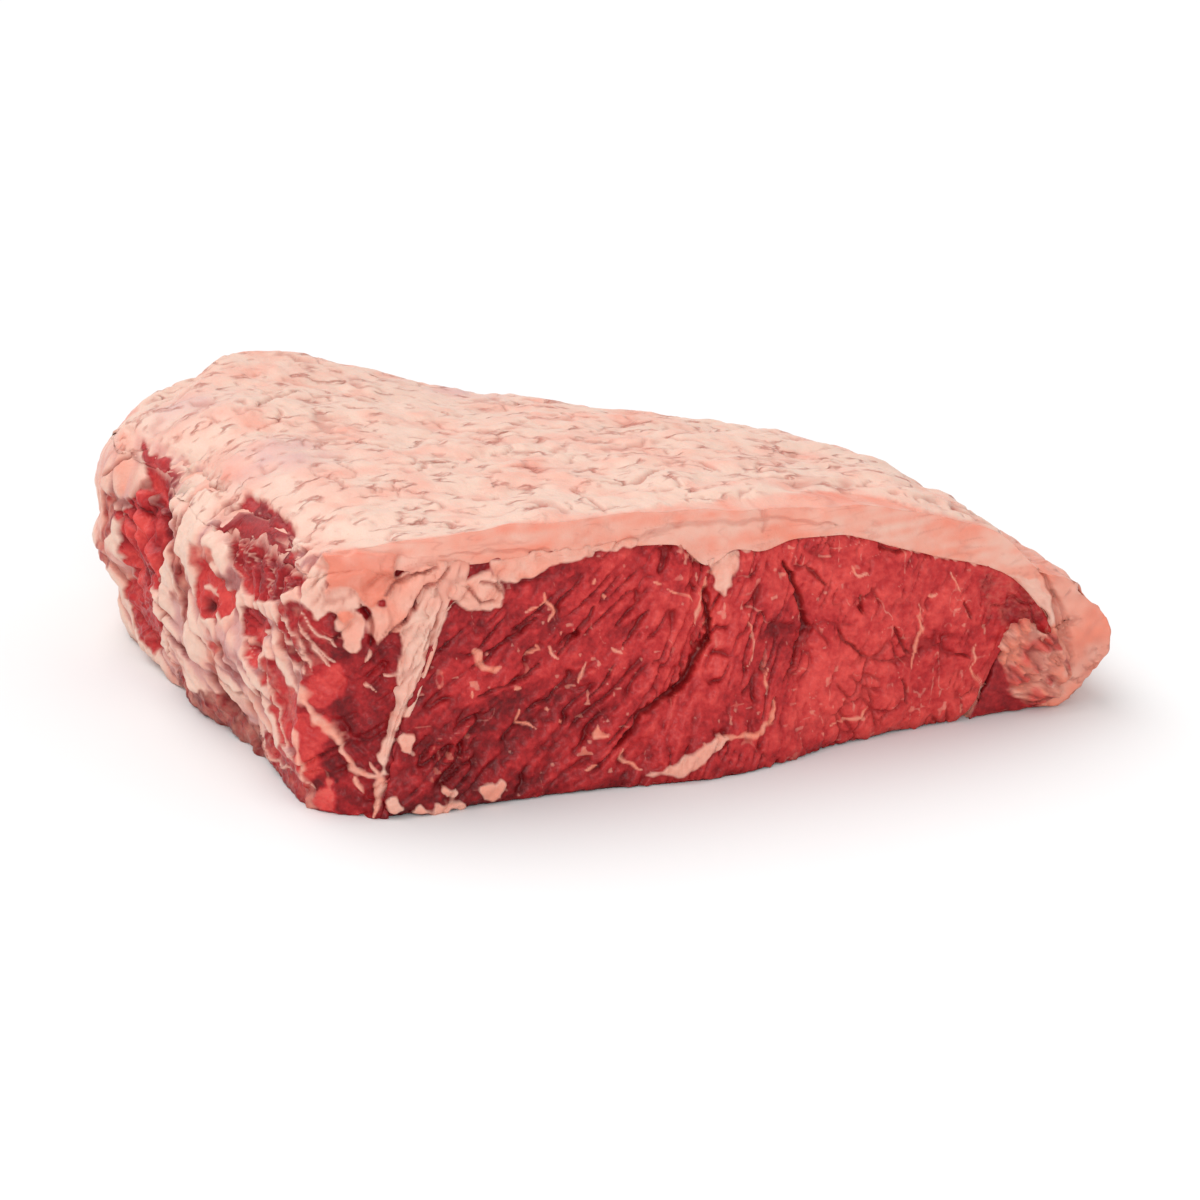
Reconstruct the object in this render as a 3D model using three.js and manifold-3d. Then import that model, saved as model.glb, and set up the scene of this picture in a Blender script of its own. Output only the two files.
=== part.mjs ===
// A piece of raw beef striploin, lying on its underside with the fat cap up.
// Millimetres, +Z up, +X across the loin from the backbone side to the flank, +Y along it from the
// front cut face to the far one. The origin is the bottom centre of the bounding box.
//
// The joint is laid out as a square block, in block coordinates a (across), b (along) and c (up).
// One function forms that block to the real, sagging shape. The cutters that part the layers of
// fat and muscle are formed by it too, so that neighbours keep fitting each other.
import * as THREE from "three";
import { mergeVertices } from "three/addons/utils/BufferGeometryUtils.js";
import Module from "manifold-3d";

const wasm = await Module();
wasm.setup();

// ---- Driving dimensions, in millimetres ----
const BLOCK = { across: 240, along: 200, up: 74 };
const SURFACE_STEPS = [28, 24, 9];
const UNDER_STEPS = [24, 12, 6];
const CUT_STEPS = [1, 14, 8];
const GAP = 0.4; // between neighbouring layers
const SPILL = 12; // how far a cutter runs past the block

const CHINE_X = -27; // the backbone side at the plate
const FLANK_X = 211; // the thin flank edge at the front cut
const FLANK_TAPER = 88; // how far the flank edge runs in towards the far end
const CHINE_BULGE = 6.5; // the backbone side swells out at half height
const HEEL = 7; // and its far end stands out under the fat cap
const WAIST = 4; // its foot draws in behind the front corner
const SHOULDER = 7; // leans in again under the fat cap
const FAR_CORNER = 36; // and rounds in to the far end
const FRONT_SAG = 7.5; // the foot of the front cut slumps forward
const BELLY = 6; // and most of all under the middle of the eye muscle
const EDGE_HEIGHT = 28; // thickness of the flank edge
const CREST_HEIGHT = 74; // height of the crown
const CREST_RUN = 34; // distance in which the top climbs from the flank edge
const FAR_FALL = 9; // the top drops this much towards the far end
const HUMP = 5; // the crown swells again at the far end
const DIMPLE = 6; // hollow of the top beside the far backbone corner
const NECK = 4.5; // the top dips before the flank edge

const CAP_DEPTH = 8; // fat cap over the eye muscle
const CAP_DEPTH_CHINE = 4.5; // and at the backbone edge
const CAP_DEPTH_FLANK = 5.5; // and this much more towards the flank
const CAP_NOTCH = { across: 114, depth: 7, width: 6 }; // fat dipping between two muscle heads
const CAP_SWELL = { across: 130, depth: 3.5, width: 9 }; // and a flatter swelling beside that
const EYE_END = 221; // the eye muscle stops here, inside the flank fat
const EYE_NOSE = 24; // length of its rounded end
const NOSE_FOOT = 31; // the floor starts to rise this far before the end
const NOSE_LIFT = 36; // flank fat this thick lies under that end
const SEAM = { foot: 17, lean: 20, halfFoot: 1, halfHead: 4.2 }; // fat seam beside the eye muscle
const CHINE_FAT = 3.6; // fat left on the backbone side
const EYE_HEIGHT = 62; // nominal, for the lean of the seam
const WINDOW_RECESS = 0.7; // lean in a window lies this far below the fat
const WINDOW_REACH = 7; // and the window is cut this deep

// Lean windows in the backbone-side fat, where the bones were taken off: outlines as [b, c].
const WINDOWS = {
  upper: [[66, 65], [50, 66.5], [30, 66.5], [16, 65], [12, 60], [24, 55], [38, 54], [51, 59]],
  middle: [[66, 59], [58, 55], [46, 50], [49, 44], [59, 39], [66, 41], [69, 49]],
  lower: [[41, 47], [28, 49], [21, 46], [25, 37], [33, 35], [40, 41]],
  stripes: [[-8, 56], [5, 57], [11, 51], [12, 44], [5, 41], [-8, 41]],
  far: [[137, 66], [120, 67], [104, 65], [92, 60], [91, 52], [103, 53], [124, 59]],
  farLower: [[136, 46], [121, 54], [108, 50], [97, 40], [98, 33], [122, 26], [132, 34]],
  foot: [[133, 18], [116, 21], [99, 24], [102, 15], [118, 7], [134, 11]],
  corner: [[-8, 31], [6, 33], [17, 33], [23, 26], [30, 14], [27, 5], [16, -6], [-8, -6]],
};

// Grooves between muscle heads on the front cut face, as [x, z] on that face.
const DIVISIONS = [
  [[87, 58], [83, 33], [66, 9]],
  [[110, 55], [118, 40], [114, 17]],
];
const DIVISION_DEPTH = 1.8;
const DIVISION_WIDTH = 5;

// ---- Small helpers ----
const clamp = THREE.MathUtils.clamp;
const step = THREE.MathUtils.smoothstep;
const lerp = THREE.MathUtils.lerp;
const bell = (t) => Math.exp(-t * t);
const roll = (t) => clamp(1 - t, 0, 1) ** 2; // 1 at an edge, fading to 0 one unit away from it

// Smooth noise from -1 to 1, one lattice cell per unit.
function noise(x, y, z) {
  const cell = [x, y, z].map(Math.floor);
  const part = [x, y, z].map((t, n) => {
    const f = t - cell[n];
    return f * f * (3 - 2 * f);
  });
  const corner = (i, j, k) => {
    const t = (cell[0] + i) * 12.9898 + (cell[1] + j) * 78.233 + (cell[2] + k) * 37.719;
    const h = Math.sin(t) * 43758.5453;
    return h - Math.floor(h);
  };
  const edge = (j, k) => lerp(corner(0, j, k), corner(1, j, k), part[0]);
  const face = (k) => lerp(edge(0, k), edge(1, k), part[1]);
  return 2 * lerp(face(0), face(1), part[2]) - 1;
}

function distanceToLine(x, z, line) {
  const segment = new THREE.Line3();
  const point = new THREE.Vector3(x, 0, z);
  const nearest = new THREE.Vector3();
  const lengths = line.slice(1).map((end, n) => {
    segment.start.set(line[n][0], 0, line[n][1]);
    segment.end.set(end[0], 0, end[1]);
    return segment.closestPointToPoint(point, true, nearest).distanceTo(point);
  });
  return Math.min(...lengths);
}

// ---- The real form, from shares u, v, w of the block ----
function chineX(v, w) {
  const swell = CHINE_BULGE * Math.sin(Math.PI * w ** 0.95) * (0.25 + 0.75 * step(v, 0, 0.5));
  const heel = HEEL * bell((v - 0.85) / 0.15) * step(w, 0.5, 0.85) + 2.5 * bell((v - 0.76) / 0.12);
  const lean = SHOULDER * clamp((w - 0.7) / 0.3, 0, 1) ** 2;
  const waist = WAIST * bell((v - 0.25) / 0.15) * (1 - w);
  const bow = 6 * (1 - v) ** 3 - 3 * Math.sin(Math.PI * v);
  return CHINE_X + bow + waist - swell - heel + FAR_CORNER * roll((1 - v) / 0.27) + lean;
}

const flankX = (v, w) => FLANK_X - FLANK_TAPER * v ** 3 - 7 * Math.abs(2 * w - 1) ** 3;

function frontY(u, w) {
  const slump = FRONT_SAG + BELLY * bell((u - 0.48) / 0.13);
  const where = step(u, -0.04, 0.08) * (1 - step(u, 0.5, 0.82));
  return (11 - 2 * w) * roll(u / 0.13) - slump * where * (1 - w) ** 1.3;
}

const farY = (u, w) => BLOCK.along - 18 * u * u - 6 * (2 * w - 1) ** 2;

function topZ(u, v, inset) {
  const climb = 1 - Math.exp(-((inset / CREST_RUN) ** 0.9));
  const fall = step(v, 0.05, 0.9) * step(u, 0.1, 0.45) * (1 - step(u, 0.7, 0.98));
  const chineEdge = (5 + 5 * step(v, 0, 0.3)) * roll(u / 0.1);
  const hump = HUMP * bell((u - 0.34) / 0.15) * bell((v - 0.95) / 0.25);
  const dimple = DIMPLE * bell((u - 0.07) / 0.045) * step(v, 0.6, 0.85);
  const neck = NECK * bell((inset - 17) / 9) * (1 - step(v, 0.2, 0.6));
  return (
    EDGE_HEIGHT + (CREST_HEIGHT - EDGE_HEIGHT) * climb + hump -
    FAR_FALL * fall - chineEdge - dimple - neck - 8 * roll((1 - v) / 0.08)
  );
}

const baseZ = (inset) => 9 * roll(inset / 15);

// Where a point of the block lies in the joint, before its surface is roughened.
function smoothForm(a, b, c) {
  const [u, v, w] = [a / BLOCK.across, b / BLOCK.along, c / BLOCK.up];
  const height = clamp(w, 0, 1);
  const [left, right] = [chineX(v, height), flankX(v, height)];
  const inset = Math.max(0, (1 - u) * (right - left));
  return new THREE.Vector3(
    lerp(left, right, u),
    lerp(frontY(u, height), farY(u, height), v),
    lerp(baseZ(inset), topZ(u, v, inset), w),
  );
}

function localHeight(a, b) {
  const [u, v] = [clamp(a / BLOCK.across, 0, 1), clamp(b / BLOCK.along, 0, 1)];
  const inset = Math.max(0, (1 - u) * (flankX(v, 1) - chineX(v, 1)));
  return topZ(u, v, inset) - baseZ(inset);
}

// Lumps and hollows of the surface. Each face moves in or out, and the plate side stays flat.
function form(a, b, c) {
  const p = smoothForm(a, b, c);
  const [u, v, w] = [a / BLOCK.across, b / BLOCK.along, c / BLOCK.up];
  const nearTop = step(w, 0.72, 1);
  const nearFront = 1 - step(v, 0, 0.12);
  const nearFar = step(v, 0.88, 1);
  const nearChine = 1 - step(u, 0, 0.07);
  const nearFlank = step(u, 0.93, 1);
  const offPlate = step(p.z, 0, 8);
  const fatLumps = 1.3 * noise(p.x / 23, p.y / 15, 3) + 0.8 * noise(p.x / 11, p.y / 8, 9);
  const cutLumps = 1.3 * noise(p.x / 16, p.z / 17, 2) + 0.6 * noise(p.x / 8, p.z / 9, 7);
  const sideLumps = 2.2 * noise(p.y / 18, p.z / 14, 5) + 0.9 * noise(p.y / 9, p.z / 8, 1);
  const grooves = DIVISIONS.map((line) =>
    bell(distanceToLine(p.x, p.z, line) / DIVISION_WIDTH),
  );
  p.z += nearTop * fatLumps;
  p.y += nearFront * (cutLumps * offPlate + DIVISION_DEPTH * Math.max(...grooves));
  p.y += nearFar * cutLumps * offPlate;
  p.x += (nearChine * sideLumps + nearFlank * cutLumps) * offPlate;
  return p;
}

// ---- Solids ----
// A closed geometry in block coordinates as a solid in the real form.
function formedSolid(geometry) {
  geometry.deleteAttribute("normal");
  geometry.deleteAttribute("uv");
  const merged = mergeVertices(geometry, 1e-4);
  const at = merged.attributes.position;
  for (let n = 0; n < at.count; n++) {
    at.setXYZ(n, ...form(at.getX(n), at.getY(n), at.getZ(n)));
  }
  const triVerts = new Uint32Array(merged.index.array);
  return new wasm.Manifold(new wasm.Mesh({ numProp: 3, vertProperties: at.array, triVerts }));
}

// A box grid whose shares i, j, k of each side are placed in the block by the function given.
function gridSolid(steps, place) {
  const box = new THREE.BoxGeometry(1, 1, 1, ...steps).translate(0.5, 0.5, 0.5);
  const at = box.attributes.position;
  for (let n = 0; n < at.count; n++) at.setXYZ(n, ...place(at.getX(n), at.getY(n), at.getZ(n)));
  return formedSolid(box);
}

const past = (t, length) => lerp(-SPILL, length + SPILL, t);

// The underside of the fat cap, in block height.
function capUnderside(a, b) {
  const dip = ({ across, depth, width }) => depth * bell((a - across) / width);
  const depth =
    lerp(CAP_DEPTH_CHINE, CAP_DEPTH, step(a, 0, 34)) + CAP_DEPTH_FLANK * step(a, 150, 190);
  return BLOCK.up * (1 - (depth + dip(CAP_NOTCH) + dip(CAP_SWELL)) / localHeight(a, b));
}

// The rounded end of the eye muscle brings the cap's underside down to the flank fat below it.
function noseShare(a) {
  const t = clamp((a - (EYE_END - EYE_NOSE)) / EYE_NOSE, 0, 1);
  return Math.sqrt(1 - t ** 4);
}

const seamMiddle = (c) => SEAM.foot + SEAM.lean * clamp(c / EYE_HEIGHT, 0, 1) ** 1.1;
const seamHalf = (c) => SEAM.halfFoot + SEAM.halfHead * clamp(c / EYE_HEIGHT, 0, 1) ** 2.5;

// The joint from one distance behind its backbone side onwards.
const blockFrom = (start) =>
  gridSolid(SURFACE_STEPS, (i, j, k) => [
    lerp(start, BLOCK.across, i),
    j * BLOCK.along,
    k * BLOCK.up,
  ]);

// All that lies under the fat cap, up to the nose that rounds off the eye muscle. The clearance
// draws its roof, its floor and its end back from the fat.
const underCap = (clearance) =>
  gridSolid(UNDER_STEPS, (i, j, k) => {
    const a = lerp(-SPILL, EYE_END, 1 - (1 - i) ** 1.5);
    const b = past(j, BLOCK.along);
    const floor = lerp(-SPILL, NOSE_LIFT, step(a, EYE_END - NOSE_FOOT, EYE_END - 9));
    const roof = lerp(floor + 2, capUnderside(a, b), noseShare(a));
    return [a - clearance * i, b, lerp(floor + clearance, roof - clearance, k)];
  });

// All that lies on the backbone side of an upright surface, moved over by a clearance.
const leftOf = (surface, clearance = 0) =>
  gridSolid(CUT_STEPS, (i, j, k) => {
    const c = past(k, BLOCK.up);
    return [lerp(-2 * SPILL, surface(c), i), past(j, BLOCK.along), c];
  }).translate(clearance, 0, 0);

const whole = blockFrom(0);
const layers = whole.intersect(underCap(GAP));
const seamLeft = (c) => seamMiddle(c) - seamHalf(c);
const seamRight = (c) => seamMiddle(c) + seamHalf(c);

// A prism that runs through a window of the backbone side, its outline drawn in b and c.
function windowPrism(outline, shrink) {
  const middle = outline.reduce((sum, [b, c]) => [sum[0] + b, sum[1] + c], [0, 0]);
  const centre = new THREE.Vector2(middle[0] / outline.length, middle[1] / outline.length);
  const points = outline.map(([b, c]) => {
    const out = new THREE.Vector2(b, c).sub(centre);
    return out.setLength(out.length() - shrink).add(centre);
  });
  const edge = new THREE.SplineCurve([...points, points[0]]).getPoints(points.length * 3);
  const prism = new THREE.ExtrudeGeometry(new THREE.Shape(edge.slice(0, -1)), {
    depth: 2 * SPILL,
    bevelEnabled: false,
  });
  // Drawn in x and y and extruded along z: those become b, c and a.
  const turn = new THREE.Matrix4().set(0, 0, 1, -SPILL, 1, 0, 0, 0, 0, 1, 0, 0, 0, 0, 0, 1);
  return formedSolid(prism.applyMatrix4(turn));
}

// ---- The layers ----
const fatCap = () => whole.subtract(underCap(0));

const eyeMuscle = () => layers.subtract(leftOf(seamRight, GAP));

const seamFat = () => layers.intersect(leftOf(seamRight)).subtract(leftOf(seamLeft));

// The lean stands in the windows of the fat over it, a little below its face.
function sideMuscle() {
  const core = layers
    .intersect(leftOf(seamLeft, -GAP))
    .subtract(leftOf(() => CHINE_FAT, GAP));
  const shell = blockFrom(WINDOW_RECESS)
    .intersect(leftOf(() => WINDOW_REACH))
    .intersect(underCap(GAP));
  return Object.values(WINDOWS).reduce(
    (sum, outline) => sum.add(shell.intersect(windowPrism(outline, GAP))),
    core,
  );
}

// Crumbs that a window cuts loose at the slab's edge are left out.
function chineFat() {
  const cut = Object.values(WINDOWS).reduce(
    (sum, outline) => sum.subtract(windowPrism(outline, 0)),
    layers.intersect(leftOf(() => CHINE_FAT)),
  );
  return cut.decompose().sort((p, q) => q.volume() - p.volume())[0];
}

// The solid's mesh as a geometry that can be drawn.
function geometryOf(solid) {
  const { numProp, vertProperties, triVerts } = solid.getMesh();
  const data = new THREE.InterleavedBuffer(vertProperties, numProp);
  const geometry = new THREE.BufferGeometry();
  geometry.setAttribute("position", new THREE.InterleavedBufferAttribute(data, 3, 0));
  geometry.setIndex(new THREE.BufferAttribute(triVerts, 1));
  geometry.computeVertexNormals();
  return geometry;
}

const FAT = { color: 0xe9b8a2, roughness: 0.42, metalness: 0 };
const CHINE_FAT_LOOK = { color: 0xe6b3a2, roughness: 0.45, metalness: 0 };
const LEAN = { color: 0xa32a2c, roughness: 0.33, metalness: 0 };
const SIDE_LEAN = { color: 0x8f2226, roughness: 0.33, metalness: 0 };

function piece(name, solid, look) {
  const mesh = new THREE.Mesh(geometryOf(solid), new THREE.MeshStandardMaterial(look));
  mesh.name = name;
  return mesh;
}

const striploin = new THREE.Group();
striploin.add(
  piece("fat_cap", fatCap(), FAT),
  piece("eye_muscle", eyeMuscle(), LEAN),
  piece("seam_fat", seamFat(), FAT),
  piece("side_muscle", sideMuscle(), SIDE_LEAN),
  piece("chine_fat", chineFat(), CHINE_FAT_LOOK),
);
const box = new THREE.Box3().setFromObject(striploin);
const middle = box.getCenter(new THREE.Vector3());
striploin.position.set(-middle.x, -middle.y, -box.min.z);

export default striploin;
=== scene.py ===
"""Looks of a raw beef striploin joint, lying on its underside with the fat cap up.

Millimetres inside the making functions, metres in the scene. The joint is laid out as a square
block, in block coordinates a (across), b (along) and c (up), and one function forms the block to
the real, sagging shape, as in the part's own source. On top of that form this script lays the fine
relief of fat and cut meat, and masks that its materials read.
"""

import bpy
import numpy as np
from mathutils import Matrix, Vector

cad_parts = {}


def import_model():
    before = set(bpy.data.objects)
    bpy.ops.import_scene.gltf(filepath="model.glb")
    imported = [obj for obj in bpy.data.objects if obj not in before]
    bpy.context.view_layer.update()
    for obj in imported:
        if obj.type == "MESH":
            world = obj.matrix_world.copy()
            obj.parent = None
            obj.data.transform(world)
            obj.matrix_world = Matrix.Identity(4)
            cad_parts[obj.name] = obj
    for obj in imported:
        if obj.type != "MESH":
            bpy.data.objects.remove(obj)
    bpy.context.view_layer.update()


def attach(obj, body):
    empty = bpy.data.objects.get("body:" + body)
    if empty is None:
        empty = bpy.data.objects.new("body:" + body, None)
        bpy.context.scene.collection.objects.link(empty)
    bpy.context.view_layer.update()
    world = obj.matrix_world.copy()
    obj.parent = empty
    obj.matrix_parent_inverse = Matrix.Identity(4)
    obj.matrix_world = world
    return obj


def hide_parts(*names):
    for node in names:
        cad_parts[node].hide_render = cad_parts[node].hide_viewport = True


# ---- The joint's form, from the part's source, in millimetres ----
ACROSS, ALONG, UP = 240.0, 200.0, 74.0
CHINE_X, FLANK_X, FLANK_TAPER = -27.0, 211.0, 88.0
CHINE_BULGE, HEEL, WAIST, SHOULDER, FAR_CORNER = 6.5, 7.0, 4.0, 7.0, 36.0
FRONT_SAG, BELLY = 7.5, 6.0
EDGE_HEIGHT, CREST_HEIGHT, CREST_RUN, FAR_FALL = 28.0, 74.0, 34.0, 9.0
HUMP, DIMPLE, NECK = 5.0, 6.0, 4.5
CAP_DEPTH_CHINE, CAP_DEPTH, CAP_DEPTH_FLANK = 4.5, 8.0, 5.5
CAP_NOTCH = {"across": 114, "depth": 7, "width": 6}
CAP_SWELL = {"across": 130, "depth": 3.5, "width": 9}
EYE_END, EYE_NOSE, NOSE_FOOT, NOSE_LIFT, EYE_HEIGHT = 221.0, 24.0, 31.0, 36.0, 62.0
SEAM_FOOT, SEAM_LEAN, SEAM_HALF_FOOT, SEAM_HALF_HEAD = 17.0, 20.0, 1.0, 4.2
DIVISIONS = [
    [(87, 58), (83, 33), (66, 9)],
    [(110, 55), (118, 40), (114, 17)],
]
ORIGIN = np.array([85.811, 93.729, 0.0])  # the bounding box's bottom centre, in the form's own frame


# ---- Small helpers ----
def step(t, low, high):
    """0 below low, 1 above high, smooth between them."""
    t = np.clip((t - low) / (high - low), 0, 1)
    return t * t * (3 - 2 * t)


def lerp(p, q, t):
    return p + (q - p) * t


def bell(t):
    return np.exp(-t * t)


def roll(t):
    """1 at an edge, fading to 0 one unit away from it."""
    return np.clip(1 - t, 0, 1) ** 2


def noise(x, y, z=0.0):
    """Smooth noise from -1 to 1, one lattice cell per unit."""
    x, y, z = np.broadcast_arrays(np.float64(x), np.float64(y), np.float64(z))
    whole = [np.floor(t) for t in (x, y, z)]
    part = [(t - w) * (t - w) * (3 - 2 * (t - w)) for t, w in zip((x, y, z), whole)]

    def corner(i, j, k):
        t = (whole[0] + i) * 12.9898 + (whole[1] + j) * 78.233 + (whole[2] + k) * 37.719
        h = np.sin(t) * 43758.5453
        return h - np.floor(h)

    def edge(j, k):
        return lerp(corner(0, j, k), corner(1, j, k), part[0])

    def face(k):
        return lerp(edge(0, k), edge(1, k), part[1])

    if np.all(part[2] == 0):
        return 2 * face(0) - 1
    return 2 * lerp(face(0), face(1), part[2]) - 1


# ---- The real form, from shares u, v, w of the block ----
def chine_x(v, w):
    swell = CHINE_BULGE * np.sin(np.pi * w**0.95) * (0.25 + 0.75 * step(v, 0, 0.5))
    heel = HEEL * bell((v - 0.85) / 0.15) * step(w, 0.5, 0.85) + 2.5 * bell((v - 0.76) / 0.12)
    lean = SHOULDER * np.clip((w - 0.7) / 0.3, 0, 1) ** 2
    waist = WAIST * bell((v - 0.25) / 0.15) * (1 - w)
    bow = 6 * (1 - v) ** 3 - 3 * np.sin(np.pi * v)
    return CHINE_X + bow + waist - swell - heel + FAR_CORNER * roll((1 - v) / 0.27) + lean


def flank_x(v, w):
    return FLANK_X - FLANK_TAPER * v**3 - 7 * np.abs(2 * w - 1) ** 3


def front_y(u, w):
    slump = FRONT_SAG + BELLY * bell((u - 0.48) / 0.13)
    where = step(u, -0.04, 0.08) * (1 - step(u, 0.5, 0.82))
    return (11 - 2 * w) * roll(u / 0.13) - slump * where * (1 - w) ** 1.3


def far_y(u, w):
    return ALONG - 18 * u * u - 6 * (2 * w - 1) ** 2


def top_z(u, v, inset):
    climb = 1 - np.exp(-((inset / CREST_RUN) ** 0.9))
    fall = step(v, 0.05, 0.9) * step(u, 0.1, 0.45) * (1 - step(u, 0.7, 0.98))
    chine_edge = (5 + 5 * step(v, 0, 0.3)) * roll(u / 0.1)
    hump = HUMP * bell((u - 0.34) / 0.15) * bell((v - 0.95) / 0.25)
    dimple = DIMPLE * bell((u - 0.07) / 0.045) * step(v, 0.6, 0.85)
    neck = NECK * bell((inset - 17) / 9) * (1 - step(v, 0.2, 0.6))
    top = EDGE_HEIGHT + (CREST_HEIGHT - EDGE_HEIGHT) * climb + hump
    return top - FAR_FALL * fall - chine_edge - dimple - neck - 8 * roll((1 - v) / 0.08)


def base_z(inset):
    return 9 * roll(inset / 15)


def smooth_form(a, b, c):
    u, v, w = a / ACROSS, b / ALONG, c / UP
    height = np.clip(w, 0, 1)
    left, right = chine_x(v, height), flank_x(v, height)
    inset = np.maximum(0, (1 - u) * (right - left))
    return (
        lerp(left, right, u),
        lerp(front_y(u, height), far_y(u, height), v),
        lerp(base_z(inset), top_z(u, v, inset), w),
    )


def local_height(a, b):
    u, v = np.clip(a / ACROSS, 0, 1), np.clip(b / ALONG, 0, 1)
    inset = np.maximum(0, (1 - u) * (flank_x(v, 1.0) - chine_x(v, 1.0)))
    return top_z(u, v, inset) - base_z(inset)


def distance_to_line(x, z, line):
    """Distance from each point to a polyline, and how far along it, from 0 to 1, the nearest point is."""
    best = np.full(np.shape(x), 1e9)
    along = np.zeros(np.shape(x))
    for n, (p, q) in enumerate(zip(line, line[1:])):
        dx, dz = q[0] - p[0], q[1] - p[1]
        t = np.clip(((x - p[0]) * dx + (z - p[1]) * dz) / (dx * dx + dz * dz), 0, 1)
        d = np.hypot(x - p[0] - t * dx, z - p[1] - t * dz)
        along = np.where(d < best, (n + t) / (len(line) - 1), along)
        best = np.minimum(best, d)
    return best, along


def form(a, b, c):
    """The formed point of each block point, with the lumps and hollows that the part's source has."""
    x, y, z = smooth_form(a, b, c)
    u, v, w = a / ACROSS, b / ALONG, c / UP
    near_top, near_far = step(w, 0.72, 1), step(v, 0.88, 1)
    near_front, near_chine, near_flank = 1 - step(v, 0, 0.12), 1 - step(u, 0, 0.07), step(u, 0.93, 1)
    off_plate = step(z, 0, 8)
    fat_lumps = 1.3 * noise(x / 23, y / 15, 3) + 0.8 * noise(x / 11, y / 8, 9)
    cut_lumps = 1.3 * noise(x / 16, z / 17, 2) + 0.6 * noise(x / 8, z / 9, 7)
    side_lumps = 2.2 * noise(y / 18, z / 14, 5) + 0.9 * noise(y / 9, z / 8, 1)
    grooves = np.max([bell(distance_to_line(x, z, line)[0] / 5) for line in DIVISIONS], axis=0)
    return np.stack(
        [
            x + (near_chine * side_lumps + near_flank * cut_lumps) * off_plate,
            y + near_front * (cut_lumps * off_plate + 1.8 * grooves) + near_far * cut_lumps * off_plate,
            z + near_top * fat_lumps,
        ],
        axis=-1,
    )


def cap_underside(a, b):
    """Block height of the fat cap's underside."""
    depth = lerp(CAP_DEPTH_CHINE, CAP_DEPTH, step(a, 0, 34)) + CAP_DEPTH_FLANK * step(a, 150, 190)
    for dip in (CAP_NOTCH, CAP_SWELL):
        depth = depth + dip["depth"] * bell((a - dip["across"]) / dip["width"])
    return UP * (1 - depth / local_height(a, b))


def nose_share(a):
    t = np.clip((a - (EYE_END - EYE_NOSE)) / EYE_NOSE, 0, 1)
    return np.sqrt(1 - t**4)


def nose_floor(a):
    return lerp(-12.0, NOSE_LIFT, step(a, EYE_END - NOSE_FOOT, EYE_END - 9))


def eye_roof(a, b):
    return lerp(nose_floor(a) + 2, cap_underside(a, b), nose_share(a))


def seam_middle(c):
    return SEAM_FOOT + SEAM_LEAN * np.clip(c / EYE_HEIGHT, 0, 1) ** 1.1


def seam_half(c):
    return SEAM_HALF_FOOT + SEAM_HALF_HEAD * np.clip(c / EYE_HEIGHT, 0, 1) ** 2.5


# ---- Lattice boxes: closed meshes whose hidden sides are coarse ----
def side_faces(cells, axis, end, stride):
    """Faces of one side of a box of cells, turned outward, as corner numbers of the whole lattice.

    A side with a stride over 1 is coarse, but it keeps every fine corner on its rim, so that it
    closes against the sides next to it.
    """
    p, q = (axis + 1) % 3, (axis + 2) % 3
    weights = [(cells[1] + 1) * (cells[2] + 1), cells[2] + 1, 1]

    def corner(s, t):
        return end * cells[axis] * weights[axis] + s * weights[p] + t * weights[q]

    def run(first, last, on_rim):
        return range(first, last, 1 if last > first else -1) if on_rim else [first]

    if stride == 1:
        s, t = np.meshgrid(np.arange(cells[p]), np.arange(cells[q]), indexing="ij")
        quads = [corner(s, t), corner(s + 1, t), corner(s + 1, t + 1), corner(s, t + 1)]
        faces = np.stack(quads, axis=-1).reshape(-1, 4).tolist()
    else:
        faces = []
        for s0 in range(0, cells[p], stride):
            for t0 in range(0, cells[q], stride):
                s1, t1 = min(s0 + stride, cells[p]), min(t0 + stride, cells[q])
                faces.append(
                    [corner(s, t0) for s in run(s0, s1, t0 == 0)]
                    + [corner(s1, t) for t in run(t0, t1, s1 == cells[p])]
                    + [corner(s, t1) for s in run(s1, s0, t1 == cells[q])]
                    + [corner(s0, t) for t in run(t1, t0, s0 == 0)]
                )
    return faces if end else [face[::-1] for face in faces]


MASKS_FROM_ZERO = ("fat", "blush", "crease", "veil", "wrinkle")


class Skin:
    """The surface points of one piece, with the relief and the masks that are laid on them."""

    def __init__(self, block, points):
        self.a, self.b, self.c = block
        self.x, self.y, self.z = points.T
        self.height = np.zeros(len(points))
        self.masks = {name: np.zeros(len(points)) for name in MASKS_FROM_ZERO}
        self.masks["tone"] = np.full(len(points), 0.5)
        self.front = 1 - step(self.b, 0, 3)
        self.far = step(self.b, ALONG - 3, ALONG)
        self.side = (1 - step(self.a, 0, 3)) * (1 - self.front) * (1 - self.far)

    def lay(self, mask, value, weight):
        """Moves a mask towards a value, as far as the weight says."""
        self.masks[mask] = lerp(self.masks[mask], value, np.clip(weight, 0, 1))

    def paint(self, weight, **masks):
        """Lays several masks with one weight."""
        for mask, value in masks.items():
            self.lay(mask, value, weight)

    def carve(self, depth, weight):
        """Lowers the surface by a depth, or raises it where the depth is negative."""
        self.height -= depth * weight


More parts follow.
